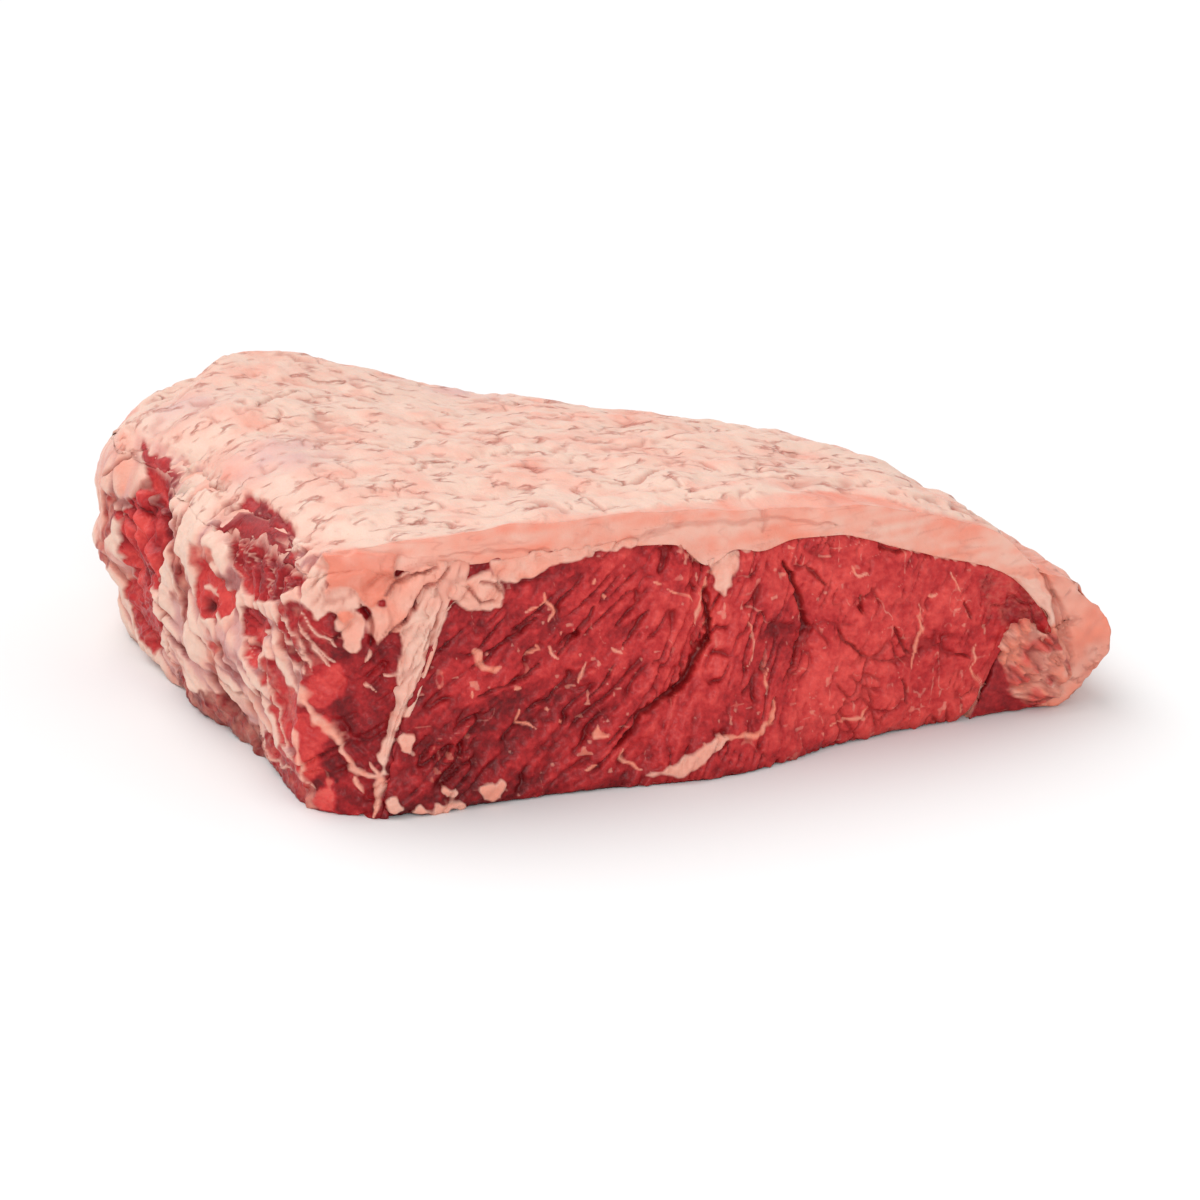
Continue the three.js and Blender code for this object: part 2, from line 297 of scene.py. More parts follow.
def build(name, cells, strides, place, dress, material):
    """One closed piece: a lattice box placed in the block, formed, and dressed with relief and masks."""
    sides = ["left", "right", "front", "far", "under", "over"]
    faces = []
    for n, side in enumerate(sides):
        faces += side_faces(cells, n // 2, n % 2, strides.get(side, 1))
    lengths = [len(face) for face in faces]
    used, numbers = np.unique(np.concatenate(faces), return_inverse=True)
    shares = [t / n for t, n in zip(np.unravel_index(used, [n + 1 for n in cells]), cells)]
    block = place(*shares)
    points = form(*block)
    corners = np.split(numbers, np.cumsum(lengths)[:-1])

    mesh = bpy.data.meshes.new(name)
    mesh.from_pydata((points - ORIGIN) / 1000, [], [c.tolist() for c in corners])
    mesh.polygons.foreach_set("use_smooth", np.ones(len(faces), bool))
    normals = np.empty(points.size, np.float32)
    mesh.vertex_normals.foreach_get("vector", normals)

    skin = Skin(block, points)
    dress(skin)
    moved = points + normals.reshape(-1, 3) * skin.height[:, None]
    moved[:, 2] = np.maximum(moved[:, 2], 0)
    mesh.vertices.foreach_set("co", ((moved - ORIGIN) / 1000).astype(np.float32).ravel())
    for mask, values in skin.masks.items():
        attribute = mesh.attributes.new(mask, "FLOAT", "POINT")
        attribute.data.foreach_set("value", values.astype(np.float32))
    mesh.materials.append(material)
    mesh.update()
    made = bpy.data.objects.new(name, mesh)
    bpy.context.scene.collection.objects.link(made)
    return made


# ---- Shapes on a face, from outlines in millimetres ----
def patch(p, q, outline, edge=0.5, wobble=0.8):
    """1 inside an outline and 0 outside, across a soft edge that wanders a little."""
    inside = np.zeros(np.shape(p), bool)
    for (p0, q0), (p1, q1) in zip(outline, outline[1:] + outline[:1]):
        if q0 != q1:
            inside ^= ((q0 > q) != (q1 > q)) & (p < p0 + (q - q0) * (p1 - p0) / (q1 - q0))
    distance = distance_to_line(p, q, outline + outline[:1])[0]
    depth = np.where(inside, distance, -distance) + wobble * noise(p / 2.3, q / 2.3, 6)
    return step(depth, -edge, edge)


def stroke(p, q, line, width, wobble=0.6, ragged=0.45):
    """1 on a line and 0 off it, for a line that thins out at both ends."""
    p, q = p + wobble * noise(p / 3, q / 3, 8), q + wobble * noise(p / 3, q / 3, 13)
    distance, along = distance_to_line(p, q, line)
    reach = width / 2 * (0.3 + 0.7 * np.sin(np.pi * np.clip(along, 0, 1)) ** 0.6)
    reach = reach * (1 + ragged * noise(p / 1.6, q / 1.6, 2))
    return 1 - step(distance, 0.2 * reach, 1.6 * reach)


def blobs(x, y, z):
    """How far a point is from the edge of its round cell: 0 on the edge, about 1 in the middle."""
    whole = [np.floor(t) for t in (x, y, z)]
    nearest, second = np.full(x.shape, 9.0), np.full(x.shape, 9.0)
    for shift in np.ndindex(3, 3, 3):
        cell = [w + s - 1 for w, s in zip(whole, shift)]
        code = cell[0] * 12.9898 + cell[1] * 78.233 + cell[2] * 37.719
        distance = 0
        for n, t in enumerate((x, y, z)):
            hashed = np.sin(code + 5.17 * n) * 43758.5453
            distance = distance + (t - cell[n] - (hashed - np.floor(hashed))) ** 2
        second = np.minimum(second, np.maximum(nearest, distance))
        nearest = np.minimum(nearest, distance)
    return np.sqrt(second) - np.sqrt(nearest)


# ---- Lean meat ----
def slits(p, q, angle, length, gap, seed):
    """Slits between bundles of fibre that run at one angle: 1 in a slit, and the bundles' swell. The
    callers darken the slits with painted shade.
    """
    turn = np.radians(angle)
    along = p * np.cos(turn) + q * np.sin(turn)
    across = q * np.cos(turn) - p * np.sin(turn) + 1.3 * noise(p / 11, q / 11, seed)
    bundles = noise(along / length, across / gap, seed + 3)
    present = step(noise(along / (0.8 * length), across / (1.7 * gap), seed + 7), -0.2, 0.45)
    threads = noise(along / (0.4 * length), across / (0.36 * gap), seed + 11)
    return bell(bundles / 0.13) * present, np.abs(bundles) + 0.22 * threads


def lay_cut_lean(skin, weight, seed=0):
    """Lean meat cut across: slanting bundles on the left, steep ones further on, lumps on the right. Its
    slits carry painted shade, and its raised bundles painted light.
    """
    x, z = skin.x, skin.z
    middle, right = step(x, 58, 80), step(x, 100, 130)
    slant, slant_swell = slits(x, z, 38, 9, 2.4, seed + 1)
    steep, steep_swell = slits(x, z, 66, 7, 2.0, seed + 21)
    curl = 0.35 * noise(x / 5, z / 5, 5)
    lump = blobs(x / 6 + curl, z / 7 - curl, np.full_like(x, 0.5 + seed))
    lump_edge = (1 - step(lump, 0.02, 0.14)) * step(noise(x / 8, z / 8, seed + 41), -0.1, 0.45)
    slit = lerp(lerp(slant, steep, middle), np.maximum(0.7 * lump_edge, 0.45 * steep), right)
    lump_swell = step(lump, 0, 0.8) * 0.5 + 0.3 * steep_swell
    swell = lerp(lerp(slant_swell, steep_swell, middle), lump_swell, right)
    grain = noise(x / 1.3, z / 1.3, seed + 9)
    skin.carve(1, weight * (1.3 * slit - 0.9 * swell - 0.3 * grain))
    # Painted shade: the slits and the edges of the lumps are darkened.
    skin.lay("crease", 1, weight * lerp(0.66, 0.55, right) * slit)
    tone = 0.32 + 0.23 * step(x, 35, 75) + 0.2 * right + 0.16 * noise(x / 15, z / 12, seed + 14)
    tone = tone - 0.12 * (1 - step(z, 8, 34)) * (1 - middle)
    # Painted light: the raised bundles are brighter and the sunk parts between them darker, on top of the
    # lean's own tone.
    tone = tone + 0.3 * (swell - 0.35) + 0.1 * noise(x / 2.6, z / 2.6, seed + 33) + 0.12 * grain
    skin.lay("tone", tone, weight)


def lay_flecks(skin, weight, seed=0):
    """Small scattered flecks of fat in lean meat, and faint threads of it."""
    x, z = skin.x, skin.z
    fleck = step(noise(x / 1.7 + seed, z / 1.7, 3), 0.62, 0.85)
    fleck = fleck * step(noise(x / 12, z / 12, 17), -0.3, 0.4)
    bent = z + 1.5 * noise(x / 6, z / 6, 19)
    thread = bell(noise(x / 6 + seed, bent / 9, 27) / 0.04) * step(noise(x / 7, z / 7, 44), 0.1, 0.5)
    web = bell(noise(x / 3.2, z / 4.2 + seed, 61) / 0.06) * step(noise(x / 5, z / 5, 64), -0.1, 0.35)
    threads = np.maximum(0.38 * thread, 0.52 * web * step(x, 60, 110))
    skin.lay("fat", 1, weight * np.maximum(0.6 * fleck, threads))
    skin.lay("blush", 0.9, weight * np.max([fleck, thread, web], axis=0))


# ---- Fat ----
def lay_fat(skin, weight):
    """The outer fat's face: soft swells and dents, and short shallow grooves between them, with painted
    shade in the grooves and dents.
    """
    x, y, z = skin.x, skin.y, skin.z
    wander = 2.0 * noise(x / 7, y / 7, z / 7 + 4)
    seams = noise((x + wander) / 6.5, (y - wander) / 5.5, z / 6)
    present = step(noise(x / 8 + 3, y / 7, z / 8), -0.05, 0.4)
    groove = bell(seams / 0.1) * present
    dents = step(noise(x / 3.4, y / 3.0, z / 3.4 + 7), 0.35, 0.8)
    dents = dents * step(noise(x / 16, y / 16, z / 16), -0.2, 0.4)
    swells = 0.5 * noise(x / 7, y / 6, z / 7 + 2) + 0.3 * noise(x / 2.9, y / 2.5, z / 3)
    skin.carve(1, weight * (0.8 * groove + 0.7 * dents - 1.3 * swells))
    blush = 0.15 + 0.36 * noise(x / 12, y / 10, z / 12) + 0.24 * noise(x / 4, y / 4, z / 4)
    # Painted shade: the grooves and dents are darkened.
    skin.paint(weight, fat=1, blush=blush, crease=0.52 * groove + 0.46 * dents, wrinkle=1)


def lay_side_fat(skin, weight):
    """The backbone side's fat: creamy ridges, steep above and lying down below, with painted shade in the
    hollows between them.
    """
    y, z = skin.y + np.maximum(0, skin.x + 22), skin.z  # y counts on round the far corner
    high = step(z, 24, 42)
    low_gap, low_swell = slits(y, z, 22, 20, 4.4, 61)
    high_gap, high_swell = slits(y, z, 66, 15, 5.5, 67)
    gap, swell = lerp(low_gap, high_gap, high), lerp(low_swell, high_swell, high)
    calm = 1 - 0.7 * np.maximum(step(y, 105, 145) * step(z, 42, 56), 0.8 * step(y, 125, 150))
    hollow = (1 - step(swell, 0.12, 0.42)) * calm
    # Painted shade: a darker rose, with lean showing through, in parts of the hollows.
    hollow_shade = hollow * step(noise(y / 11, z / 9, 51), -0.35, 0.2)
    # Painted shade: the mauve veil colour in parts of the hollows.
    overlay = hollow * step(noise(y / 8, z / 7, 57), -0.35, 0.15)
    relief = 1.5 * gap - 2.8 * (swell - 0.4) - 0.4 * noise(y / 1.8, z / 1.8, 6)
    skin.carve(1, weight * (relief * calm + 1.5 * step(y, 85, 120) * (1 - step(z, 48, 58))))
    # The fat is creamier on the swells and pinker towards the hollows.
    blush = 0.72 - 0.95 * swell + 0.22 * noise(y / 9, z / 9, 12)
    # Painted shade: the gaps, and less so the hollows, are darkened.
    skin.paint(weight, fat=1, tone=0.3, blush=blush, crease=(0.9 * gap + 0.25 * hollow) * calm)
    skin.lay("fat", 0.42, 0.9 * weight * hollow_shade)
    skin.lay("veil", 0.85, weight * overlay)


# ---- The joint's four pieces ----
CAP_CELLS = (426, 168, 34)
CAP_TOP_CELLS = 0.84  # share of the cap's cells across that lie on its top
EYE_CELLS = (430, 40, 130)
SEAM_CELLS = (22, 24, 130)
SIDE_CELLS = (60, 380, 124)
TUCK = 0.7  # how far the pieces reach into each other, past the gaps between the part's solids
SIDE_TUCK = 2.0  # how far the top of the backbone side draws in under the cap

CAP_FOOT = 201.0  # across the block, where the flank fat ends on the underside
CAP_TURN = 0.67  # share of the cap band's length that lies above the eye muscle


def along_line(s, line):
    """The point at share s of a line's length."""
    line = np.array(line, float)
    reach = np.concatenate([[0], np.cumsum(np.hypot(*np.diff(line, axis=0).T))])
    return [np.interp(s * reach[-1], reach, line[:, n]) for n in (0, 1)]


def place_cap(s, t, r):
    """The fat cap: a band over the top and round the flank edge, from its inner face to its outer."""
    b = ALONG * t
    s = np.interp(s, [0, CAP_TOP_CELLS, 1], [0, CAP_TURN, 1])
    outer_a, outer_c = along_line(s, [(0, UP), (ACROSS, UP), (ACROSS, 0), (CAP_FOOT, 0)])
    over = np.clip(s / CAP_TURN, 0, 1)
    back = np.clip((s - CAP_TURN) / (1 - CAP_TURN), 0, 1)
    inner_a = np.where(s < CAP_TURN, EYE_END * over, lerp(EYE_END, CAP_FOOT, back))
    sink = UP * TUCK / local_height(inner_a, b)
    roof = eye_roof(inner_a, b) - sink
    floor = np.maximum(nose_floor(inner_a), 0) + sink
    inner_c = np.where(s < CAP_TURN, roof, floor)
    return lerp(inner_a, outer_a, r), b, lerp(inner_c, outer_c, r)


def place_eye(s, t, r):
    """The eye muscle, from the seam to its rounded nose."""
    b = ALONG * t
    height = r * eye_roof(SEAM_FOOT + SEAM_LEAN, b)
    near = seam_middle(height) + seam_half(height) - TUCK
    a = lerp(near, EYE_END, s)
    rise = UP * TUCK / local_height(a, b)
    return a, b, lerp(np.maximum(nose_floor(a), 0), eye_roof(a, b) + rise, r)


def place_seam(s, t, r):
    """The fat seam between the eye muscle and the backbone side."""
    b = ALONG * t
    c = r * (eye_roof(SEAM_FOOT + SEAM_LEAN, b) + TUCK)
    half = seam_half(c) + TUCK
    return seam_middle(c) + lerp(-half, half, s), b, c


def place_side(s, t, r):
    """The backbone side: its muscle, and the fat on its outer face."""
    b = ALONG * t
    height = r * cap_underside(SEAM_FOOT, b)
    under_cap = SIDE_TUCK * step(r, 0.94, 0.99)
    a = lerp(under_cap, seam_middle(height) - seam_half(height) + TUCK, s)
    rise = UP * TUCK / local_height(a, b)
    return a, b, r * (cap_underside(a, b) + rise)


# ---- What the front cut shows: places as (x, z) on that face ----
MARBLING = [
    (1.6, [(22, 43), (24, 37), (29, 37)]),
    (1.0, [(42, 56), (42, 53), (44, 50), (43, 48)]),
    (0.7, [(42, 53), (36, 51)]),
    (0.9, [(35, 39), (39, 40), (38, 41)]),
    (1.2, [(42, 41), (43, 39), (45, 37)]),
    (1.5, [(32, 31), (34, 31)]),
    (0.8, [(53, 36), (52, 32), (51, 29)]),
    (1.1, [(59, 38), (62, 36)]),
    (1.5, [(55, 18), (55, 15), (57, 15)]),
    (1.1, [(61, 11), (61, 7), (67, 4)]),
    (0.8, [(76, 52), (84, 48)]),
    (0.6, [(72, 54), (75, 53)]),
    (1.0, [(88, 53), (86, 47), (84, 42)]),
    (0.7, [(34, 24), (33, 21), (38, 19)]),
    (1.0, [(42, 24), (42, 23)]),
    (0.9, [(44, 21), (45, 20)]),
    (0.8, [(51, 7), (54, 7)]),
    (0.7, [(20, 31), (20, 29)]),
    (0.7, [(56, 58), (55, 56)]),
    (1.0, [(58, 53), (58, 51)]),
    (0.6, [(130, 50), (135, 47)]),
    (0.7, [(150, 37), (151, 30), (151, 23), (148, 17)]),
    (0.9, [(154, 38), (156, 40)]),
    (0.5, [(148, 54), (155, 51)]),
    (0.8, [(123, 7), (133, 7), (136, 10)]),
    (1.3, [(105, 18), (104, 12), (99, 9), (89, 10), (82, 9)]),
    (0.5, [(169, 24), (168, 16), (171, 8)]),
    (0.4, [(160, 45), (163, 38)]),
    (0.7, [(98, 41), (99, 34), (98, 28)]),
    (0.6, [(104, 27), (103, 20)]),
]
DEEP_GROOVES = [
    (2.1, [(87, 50), (87, 36), (83, 31), (78, 25), (67, 20), (63, 15), (60, 12)]),
    (1.6, [(111, 54), (115, 45), (116, 39), (118, 35), (114, 30), (113, 26), (111, 24)]),
]
LONG_SLITS = [
    (1.1, [(24, 41), (33, 45), (40, 49)]),
    (1.1, [(22, 30), (27, 31), (36, 34), (40, 36)]),
    (0.9, [(36, 24), (43, 27), (47, 31)]),
    (1.1, [(45, 38), (52, 45), (55, 50)]),
    (0.8, [(53, 25), (61, 34)]),
    (0.9, [(63, 38), (69, 45), (71, 47)]),
]
SOFT_CREASES = [
    (1.2, [(117, 52), (123, 46)]),
    (1.0, [(133, 42), (133, 37)]),
    (1.0, [(126, 33), (134, 24)]),
    (1.2, [(143, 32), (145, 27), (149, 23)]),
    (1.1, [(146, 16), (148, 9)]),
    (0.9, [(165, 36), (167, 30)]),
    (0.9, [(163, 21), (167, 19)]),
    (0.9, [(137, 58), (140, 54), (147, 53)]),
]
CORNER_BAND = [(-26, 68), (-14, 66), (-14, 56), (-17, 53), (-20, 57), (-26, 59)]
COMB = [(86, 45), (89, 42), (85, 31), (77, 22), (73, 23), (83, 32)]
NOSE = [(170, 49), (183, 42), (191, 32), (190, 23), (182, 20), (173, 28), (167, 38)]
SPECKLED = [(5, 20), (12, 23), (22, 20), (24, 12), (18, 8), (7, 9)]
FAT_CURL = [(15, 59), (17, 61), (22, 63), (27, 64), (31, 59), (31, 55), (27, 52), (20, 54), (17, 56)]
CURL_FOLDS = [
    (1.2, [(19, 61), (22, 58), (24, 55), (28, 55)]),
    (0.9, [(24, 61), (28, 59), (30, 57)]),
]
FAT_STRIP = [(27, 59), (31, 59), (38, 60), (46, 63), (58, 64), (69, 64), (69, 67), (40, 67), (27, 66)]
FAT_WEDGE = [(88, 60), (92, 60), (97, 59), (95, 53), (92, 49), (90, 50), (89, 54)]
BOTTOM_STRIP = [(67, 3), (74, 5), (81, 9), (90, 12), (91, 10), (84, 6), (77, 2)]
BOTTOM_BITS = [
    [(1, 22), (4, 21), (5, 18), (3, 16), (1, 18)],
    [(-4, 5), (-1, 6), (2, 3), (1, 1), (-2, 1)],
    [(2, 2), (5, 3), (8, 2), (8, 0), (2, 0)],
    [(9, 3), (14, 4), (18, 2), (18, 0), (9, 0)],
    [(11, 6), (15, 7), (16, 5), (12, 4)],
    [(21, 6), (25, 7), (28, 5), (27, 2), (23, 2)],
]
CAP_CREASE = [(14, 69), (30, 68), (46, 66), (55, 65), (65, 66), (81, 68), (98, 67), (112, 66), (126, 63)]
CAP_NICK = [(107, 71), (104.5, 69.5), (106, 66.5), (105, 63)]

# What the cap's top shows: places as (x, y).
RIM_EDGE = [(9, 1), (58, 0), (71, 5), (108, 10), (136, 15), (146, 8), (156, 4), (178, 3), (197, 8)]
RIM_WINDOW = [(-45, 66), (-21, 68), (-16, 70), (-15, 63), (-14, 48), (-14, 37), (-17, 29), (-45, 22)]
VEIL_SPOTS = [((-2, 80), 13), ((-12, 141), 11), ((79, 160), 15), ((172, 100), 14), ((110, 176), 12)]
TOP_CREASES = [
    (1.8, [(68, 32), (79, 28), (92, 38)]),
    (1.5, [(3, 124), (12, 134), (21, 140)]),
    (1.5, [(63, 7), (62, 18), (61, 28)]),
    (1.6, [(92, 118), (93, 108), (99, 104)]),
    (1.6, [(20, 87), (23, 82), (27, 80)]),
    (1.5, [(27, 54), (31, 60), (37, 61)]),
    (1.5, [(33, 29), (38, 27), (42, 32)]),
    (1.4, [(102, 43), (106, 40), (107, 34)]),
    (1.5, [(107, 21), (116, 26), (124, 25)]),
    (1.7, [(51, 108), (55, 98), (66, 92)]),
    (1.6, [(0, 62), (4, 54), (3, 46)]),
    (1.5, [(-2, 108), (6, 112), (9, 120)]),
    (1.5, [(138, 60), (146, 54), (155, 57)]),
    (1.5, [(70, 140), (82, 134), (90, 137)]),
    (1.4, [(128, 92), (136, 96), (140, 104)]),
]

# The flank end of the front cut: places as (x, z).
NOSE_RIM = [(180, 41), (187, 36), (191, 29), (191, 22)]
TAIL_CREASE = [(188, 42), (192, 34), (194, 26), (197, 18), (199, 11)]
TAIL_DARK = [(192, 35), (195, 29), (198, 19)]
KNOBBLY_LUMP = [
    (176, 22), (178, 27), (185, 28), (191, 24), (196, 16),
    (198, 9), (193, 3), (186, 2), (181, 6), (178, 13),
]
LUMP_GAP = [(190, 28), (183, 30), (176, 26), (174, 17), (172, 10), (168, 5)]
UNDER_NOSE = [(164, 24), (176, 24), (179, 15), (182, 6), (190, 2), (190, -2), (160, -2), (160, 12)]

# The corner between the front cut and the backbone side: places as (x, z).
CORNER_LEAN = [  # tone, film of fat over it, depth, outline
    (0.26, 0.0, 0.6, [(-11, 43), (-4, 52), (3, 54), (6, 44), (2, 31), (0, 24), (-5, 16), (-8, 12),
                      (-13, 20), (-19, 29), (-14, 32)]),
    (0.38, 0.2, 0.3, [(-26, 56), (-21, 56), (-18, 54), (-13, 47), (-14, 43), (-17, 39),
                      (-20, 35), (-26, 36)]),
    (0.72, 0.0, 0.1, [(-20, 35), (-16, 39), (-12, 43), (-11, 40), (-11, 34), (-14, 32),
                      (-18, 29), (-20, 31)]),
    (0.55, 0.42, 0.2, [(-28, 20), (-23, 16), (-22, 10), (-19, 6), (-18, 0), (-28, 0)]),
    (0.26, 0.0, 0.5, [(-14, 12), (-10, 13), (-6, 10), (-6, 4), (-8, 0), (-16, 0), (-14, 6)]),
    (0.70, 0.0, -0.3, [(-25, 26), (-20, 27), (-17, 26), (-16, 21), (-17, 17), (-20, 16), (-25, 18)]),
    (0.72, 0.1, 0.0, [(-24, 15), (-19, 16), (-17, 11), (-19, 8), (-22, 10)]),
    (0.80, 0.25, -0.4, [(-19, 7), (-15, 9), (-14, 6), (-15, 1), (-18, 0), (-19, 3)]),
    (0.12, 0.0, 0.8, [(-17, 13), (-14, 16), (-11, 14), (-12, 11), (-15, 11)]),
]
STRIPES = [
    (0.7, [(-23, 52), (-19, 46), (-15, 40)]),
    (0.6, [(-20, 49), (-17, 44), (-14, 42)]),
    (0.7, [(-22, 54), (-18, 50), (-13, 46)]),
    (0.6, [(-24, 50), (-21, 44), (-18, 38)]),
    (0.5, [(-24, 45), (-22, 40), (-20, 37)]),
]
CORNER_FAT = [
    (2.6, [(-25, 37), (-21, 34), (-21, 30), (-19, 27), (-16, 24), (-13, 19), (-11, 14),
           (-8, 12), (-5, 12)]),
    (1.2, [(-24, 28), (-23, 18), (-22, 13), (-21, 8), (-19, 6)]),
    (1.5, [(-10, 11), (-9, 7)]),
    (1.9, [(-6, 15), (-4, 11), (-5, 6), (-6, 1)]),
    (1.0, [(-7, 36), (-4, 34)]),
    (0.7, [(-6, 46), (-6, 42)]),
    (0.7, [(2, 40), (-3, 39)]),
]
SALMON_BLOCK = [(-14, 69), (-5, 71), (3, 70), (2, 64), (-1, 59), (-5, 57), (-7, 61), (-11, 62), (-14, 61)]
BLOCK_FOOT = [(-14, 62), (-7, 63), (-6, 58), (-9, 56), (-12, 54), (-15, 56)]
LOOSE_FOOT = [(-14, 53), (-10, 56), (-7, 55), (-7, 49), (-9, 45), (-11, 44), (-12, 48)]
ORANGE_SPOT = [(-13, 54), (-10, 55.5), (-9, 54), (-11, 52)]
SMALL_FLAP = [(-5, 58), (-1, 57), (0, 51), (-4, 47), (-6, 50)]
FLAP = [(-1, 61), (2, 64), (10, 67), (17, 67), (13, 62), (8, 60), (6, 56), (1, 50), (-2, 50), (-2, 54)]
LOWER_FLAP = [(8, 61), (12, 62), (13, 57), (10, 49), (8, 43), (5, 35), (1, 28), (1, 40), (2, 51), (6, 56)]
SEAM_BAND = [
    (11, 64), (17, 60), (14, 52), (9, 44), (4, 34), (1, 25), (-2, 18), (-3, 12),
    (-4, 12), (-5, 17), (-2, 22), (0, 28), (3, 42), (7, 54),
]
SEAM_BARE = [(-14, 27), (6, 27), (6, -3), (-14, -3)]
FLAPS = [  # outline, blush, how far it stands out; each lies over the ones before it
    (CORNER_BAND, 0.3, 0.8),
    (SEAM_BAND, 0.5, 0.5),
    (LOWER_FLAP, 0.42, 1.1),
    (FLAP, 0.72, 1.4),
    (SMALL_FLAP, 0.62, 0.9),
    (LOOSE_FOOT, 0.6, 0.5),
    (BLOCK_FOOT, 0.4, 1.2),
    (SALMON_BLOCK, 0.97, 1.4),
    (ORANGE_SPOT, 1.1, 1.2),
]
FLAP_GAPS = [
    (1.1, [(-1, 60), (1, 63), (8, 65), (13, 66)]),
    (1.2, [(-1, 50), (3, 53), (6, 56), (9, 61), (13, 63), (16, 66)]),
    (1.3, [(-7, 58), (-5, 52), (-6, 47)]),
    (0.9, [(13, 57), (11, 51), (7, 45)]),
]

# ---- What the backbone side shows: places as (y, z) on that face ----
SIDE_WINDOWS = [
    [(72, 64), (56, 64), (39, 66), (24, 66), (14, 61), (18, 56), (31, 50), (46, 47), (54, 51),
     (64, 58), (69, 62)],
    [(49, 43), (35, 47), (30, 43), (36, 37), (46, 37)],
    [(43, 36), (34, 36), (34, 31), (40, 31)],
    [(18, 63), (10, 62), (9, 57), (13, 59)],
]
SIDE_LEAN = [  # tone, film of fat over it, depth, outline
    (0.30, 0.38, 0.8, [(149, 46), (139, 48), (141, 36), (147, 31)]),
    (0.42, 0.42, 0.6, [(152, 30), (146, 31), (146, 22), (152, 21)]),
    (0.30, 0.40, 1.4, [(96, 56), (88, 53), (80, 45), (79, 34), (82, 24), (86, 25), (85, 38), (90, 47)]),
    (0.50, 0.50, 1.0, [(77, 53), (68, 55), (63, 52), (67, 45), (74, 44)]),
    (0.72, 0.05, 1.4, [(69, 52), (65, 49), (59, 45), (52, 44), (56, 39), (65, 34), (72, 35), (75, 41)]),
    (0.50, 0.45, 0.6, [(65, 28), (57, 31), (53, 28), (62, 24)]),
    (0.25, 0.10, 1.6, [(37, 24), (33, 25), (31, 21), (35, 19)]),
    (0.50, 0.18, 0.9, [(136, 22), (118, 27), (103, 30), (99, 22), (104, 13), (119, 5), (136, 8)]),
    (0.38, 0.24, 0.7, [(20, 56), (22, 48), (24, 41), (20, 38), (4, 38), (4, 56)]),
    (0.50, 0.24, 0.3, [(31, 34), (25, 37), (20, 33), (22, 27), (30, 27)]),
    (0.50, 0.22, 0.3, [(25, 28), (18, 32), (4, 30), (4, 14), (18, 16), (28, 22)]),
    (0.66, 0.02, -0.3, [(13, 27), (4, 28), (4, 15), (13, 17)]),
    (0.44, 0.24, 0.3, [(40, 11), (20, 14), (4, 12), (4, -2), (36, -2)]),
    (0.18, 0.36, 0.5, [(100, 8), (84, 8), (66, 12), (40, 6), (36, -2), (104, -2)]),
]
SIDE_LINES = [
    (1.6, [(36, 41), (28, 39), (20, 39), (12, 37), (4, 35)]),
    (1.0, [(32, 35), (27, 29), (24, 24), (18, 18), (13, 14), (4, 10)]),
    (0.8, [(46, 8), (31, 5), (13, 9)]),
    (0.8, [(22, 53), (14, 49), (6, 45)]),
    (0.7, [(23, 47), (14, 43), (6, 40)]),
    (1.4, [(69, 43), (64, 42), (60, 43)]),
]
CAVITY = [
    (138, 63), (129, 61), (120, 62), (108, 59), (95, 54),
    (96, 41), (99, 33), (104, 42), (109, 49), (124, 56),
]
SHAGGY = [(138, 42), (126, 52), (112, 53), (101, 46), (100, 32), (114, 24), (125, 22), (134, 29)]
LOBE = [(106, 64), (90, 67), (73, 67), (50, 68), (40, 72), (60, 80), (100, 80)]
FAR_LOBE = [(150, 62), (134, 62), (118, 58), (112, 52), (124, 48), (140, 46), (150, 50)]
SIDE_GROOVES = [
    (1.6, [(106, 62), (92, 64), (78, 65)]),
    (1.6, [(97, 30), (95, 20), (100, 10)]),
    (1.3, [(83, 27), (81, 22), (79, 17)]),
    (1.2, [(61, 18), (55, 17), (49, 17)]),
    (1.2, [(90, 57), (86, 50), (84, 42)]),
    (1.3, [(134, 62), (141, 56), (148, 50)]),
    (1.2, [(160, 60), (168, 48), (166, 34)]),
    (1.3, [(176, 40), (170, 24), (172, 12)]),
]
SIDE_PITS = [
    (83, 25), (80, 20), (58, 28), (43, 21), (38, 20),
    (48, 14), (69, 15), (65, 12), (62, 10), (66, 38),
]
SIDE_PIT_SIZE = 2.0

LINE_LIFT = 0.2  # marbling stands this far out of the lean
LINE_HALO = 0.9  # the pink beside a line of fat adds this much to its width
FLAP_LIFT = 1.0  # loose fat stands this far out


def lay_lines(skin, p, q, lines, where, blush=0.95, lift=LINE_LIFT):
    """Lines of fat with a pink halo, each given as its width and its points."""
    for width, line in lines:
        halo = where * stroke(p, q, line, width + LINE_HALO, 1.0)
        skin.lay("fat", np.maximum(skin.masks["fat"], 0.42), 0.7 * halo)
        drawn = where * stroke(p, q, line, width, 1.0)
        skin.lay("fat", 0.88, drawn)
        skin.lay("crease", 0, drawn)
        skin.lay("blush", blush + 0.15 * noise(p / 2, q / 2, 5), step(halo, 0, 0.2))
        skin.carve(-lift, drawn)


def lay_gaps(skin, p, q, lines, where, depth=1.6, dark=0.95):
    """Gaps cut into the surface and darkened with painted shade, each given as its width and its points.
    """
    for width, line in lines:
        drawn = where * stroke(p, q, line, width)
        # Painted shade in the gap.
        skin.lay("crease", dark, drawn)
        skin.carve(depth, drawn)


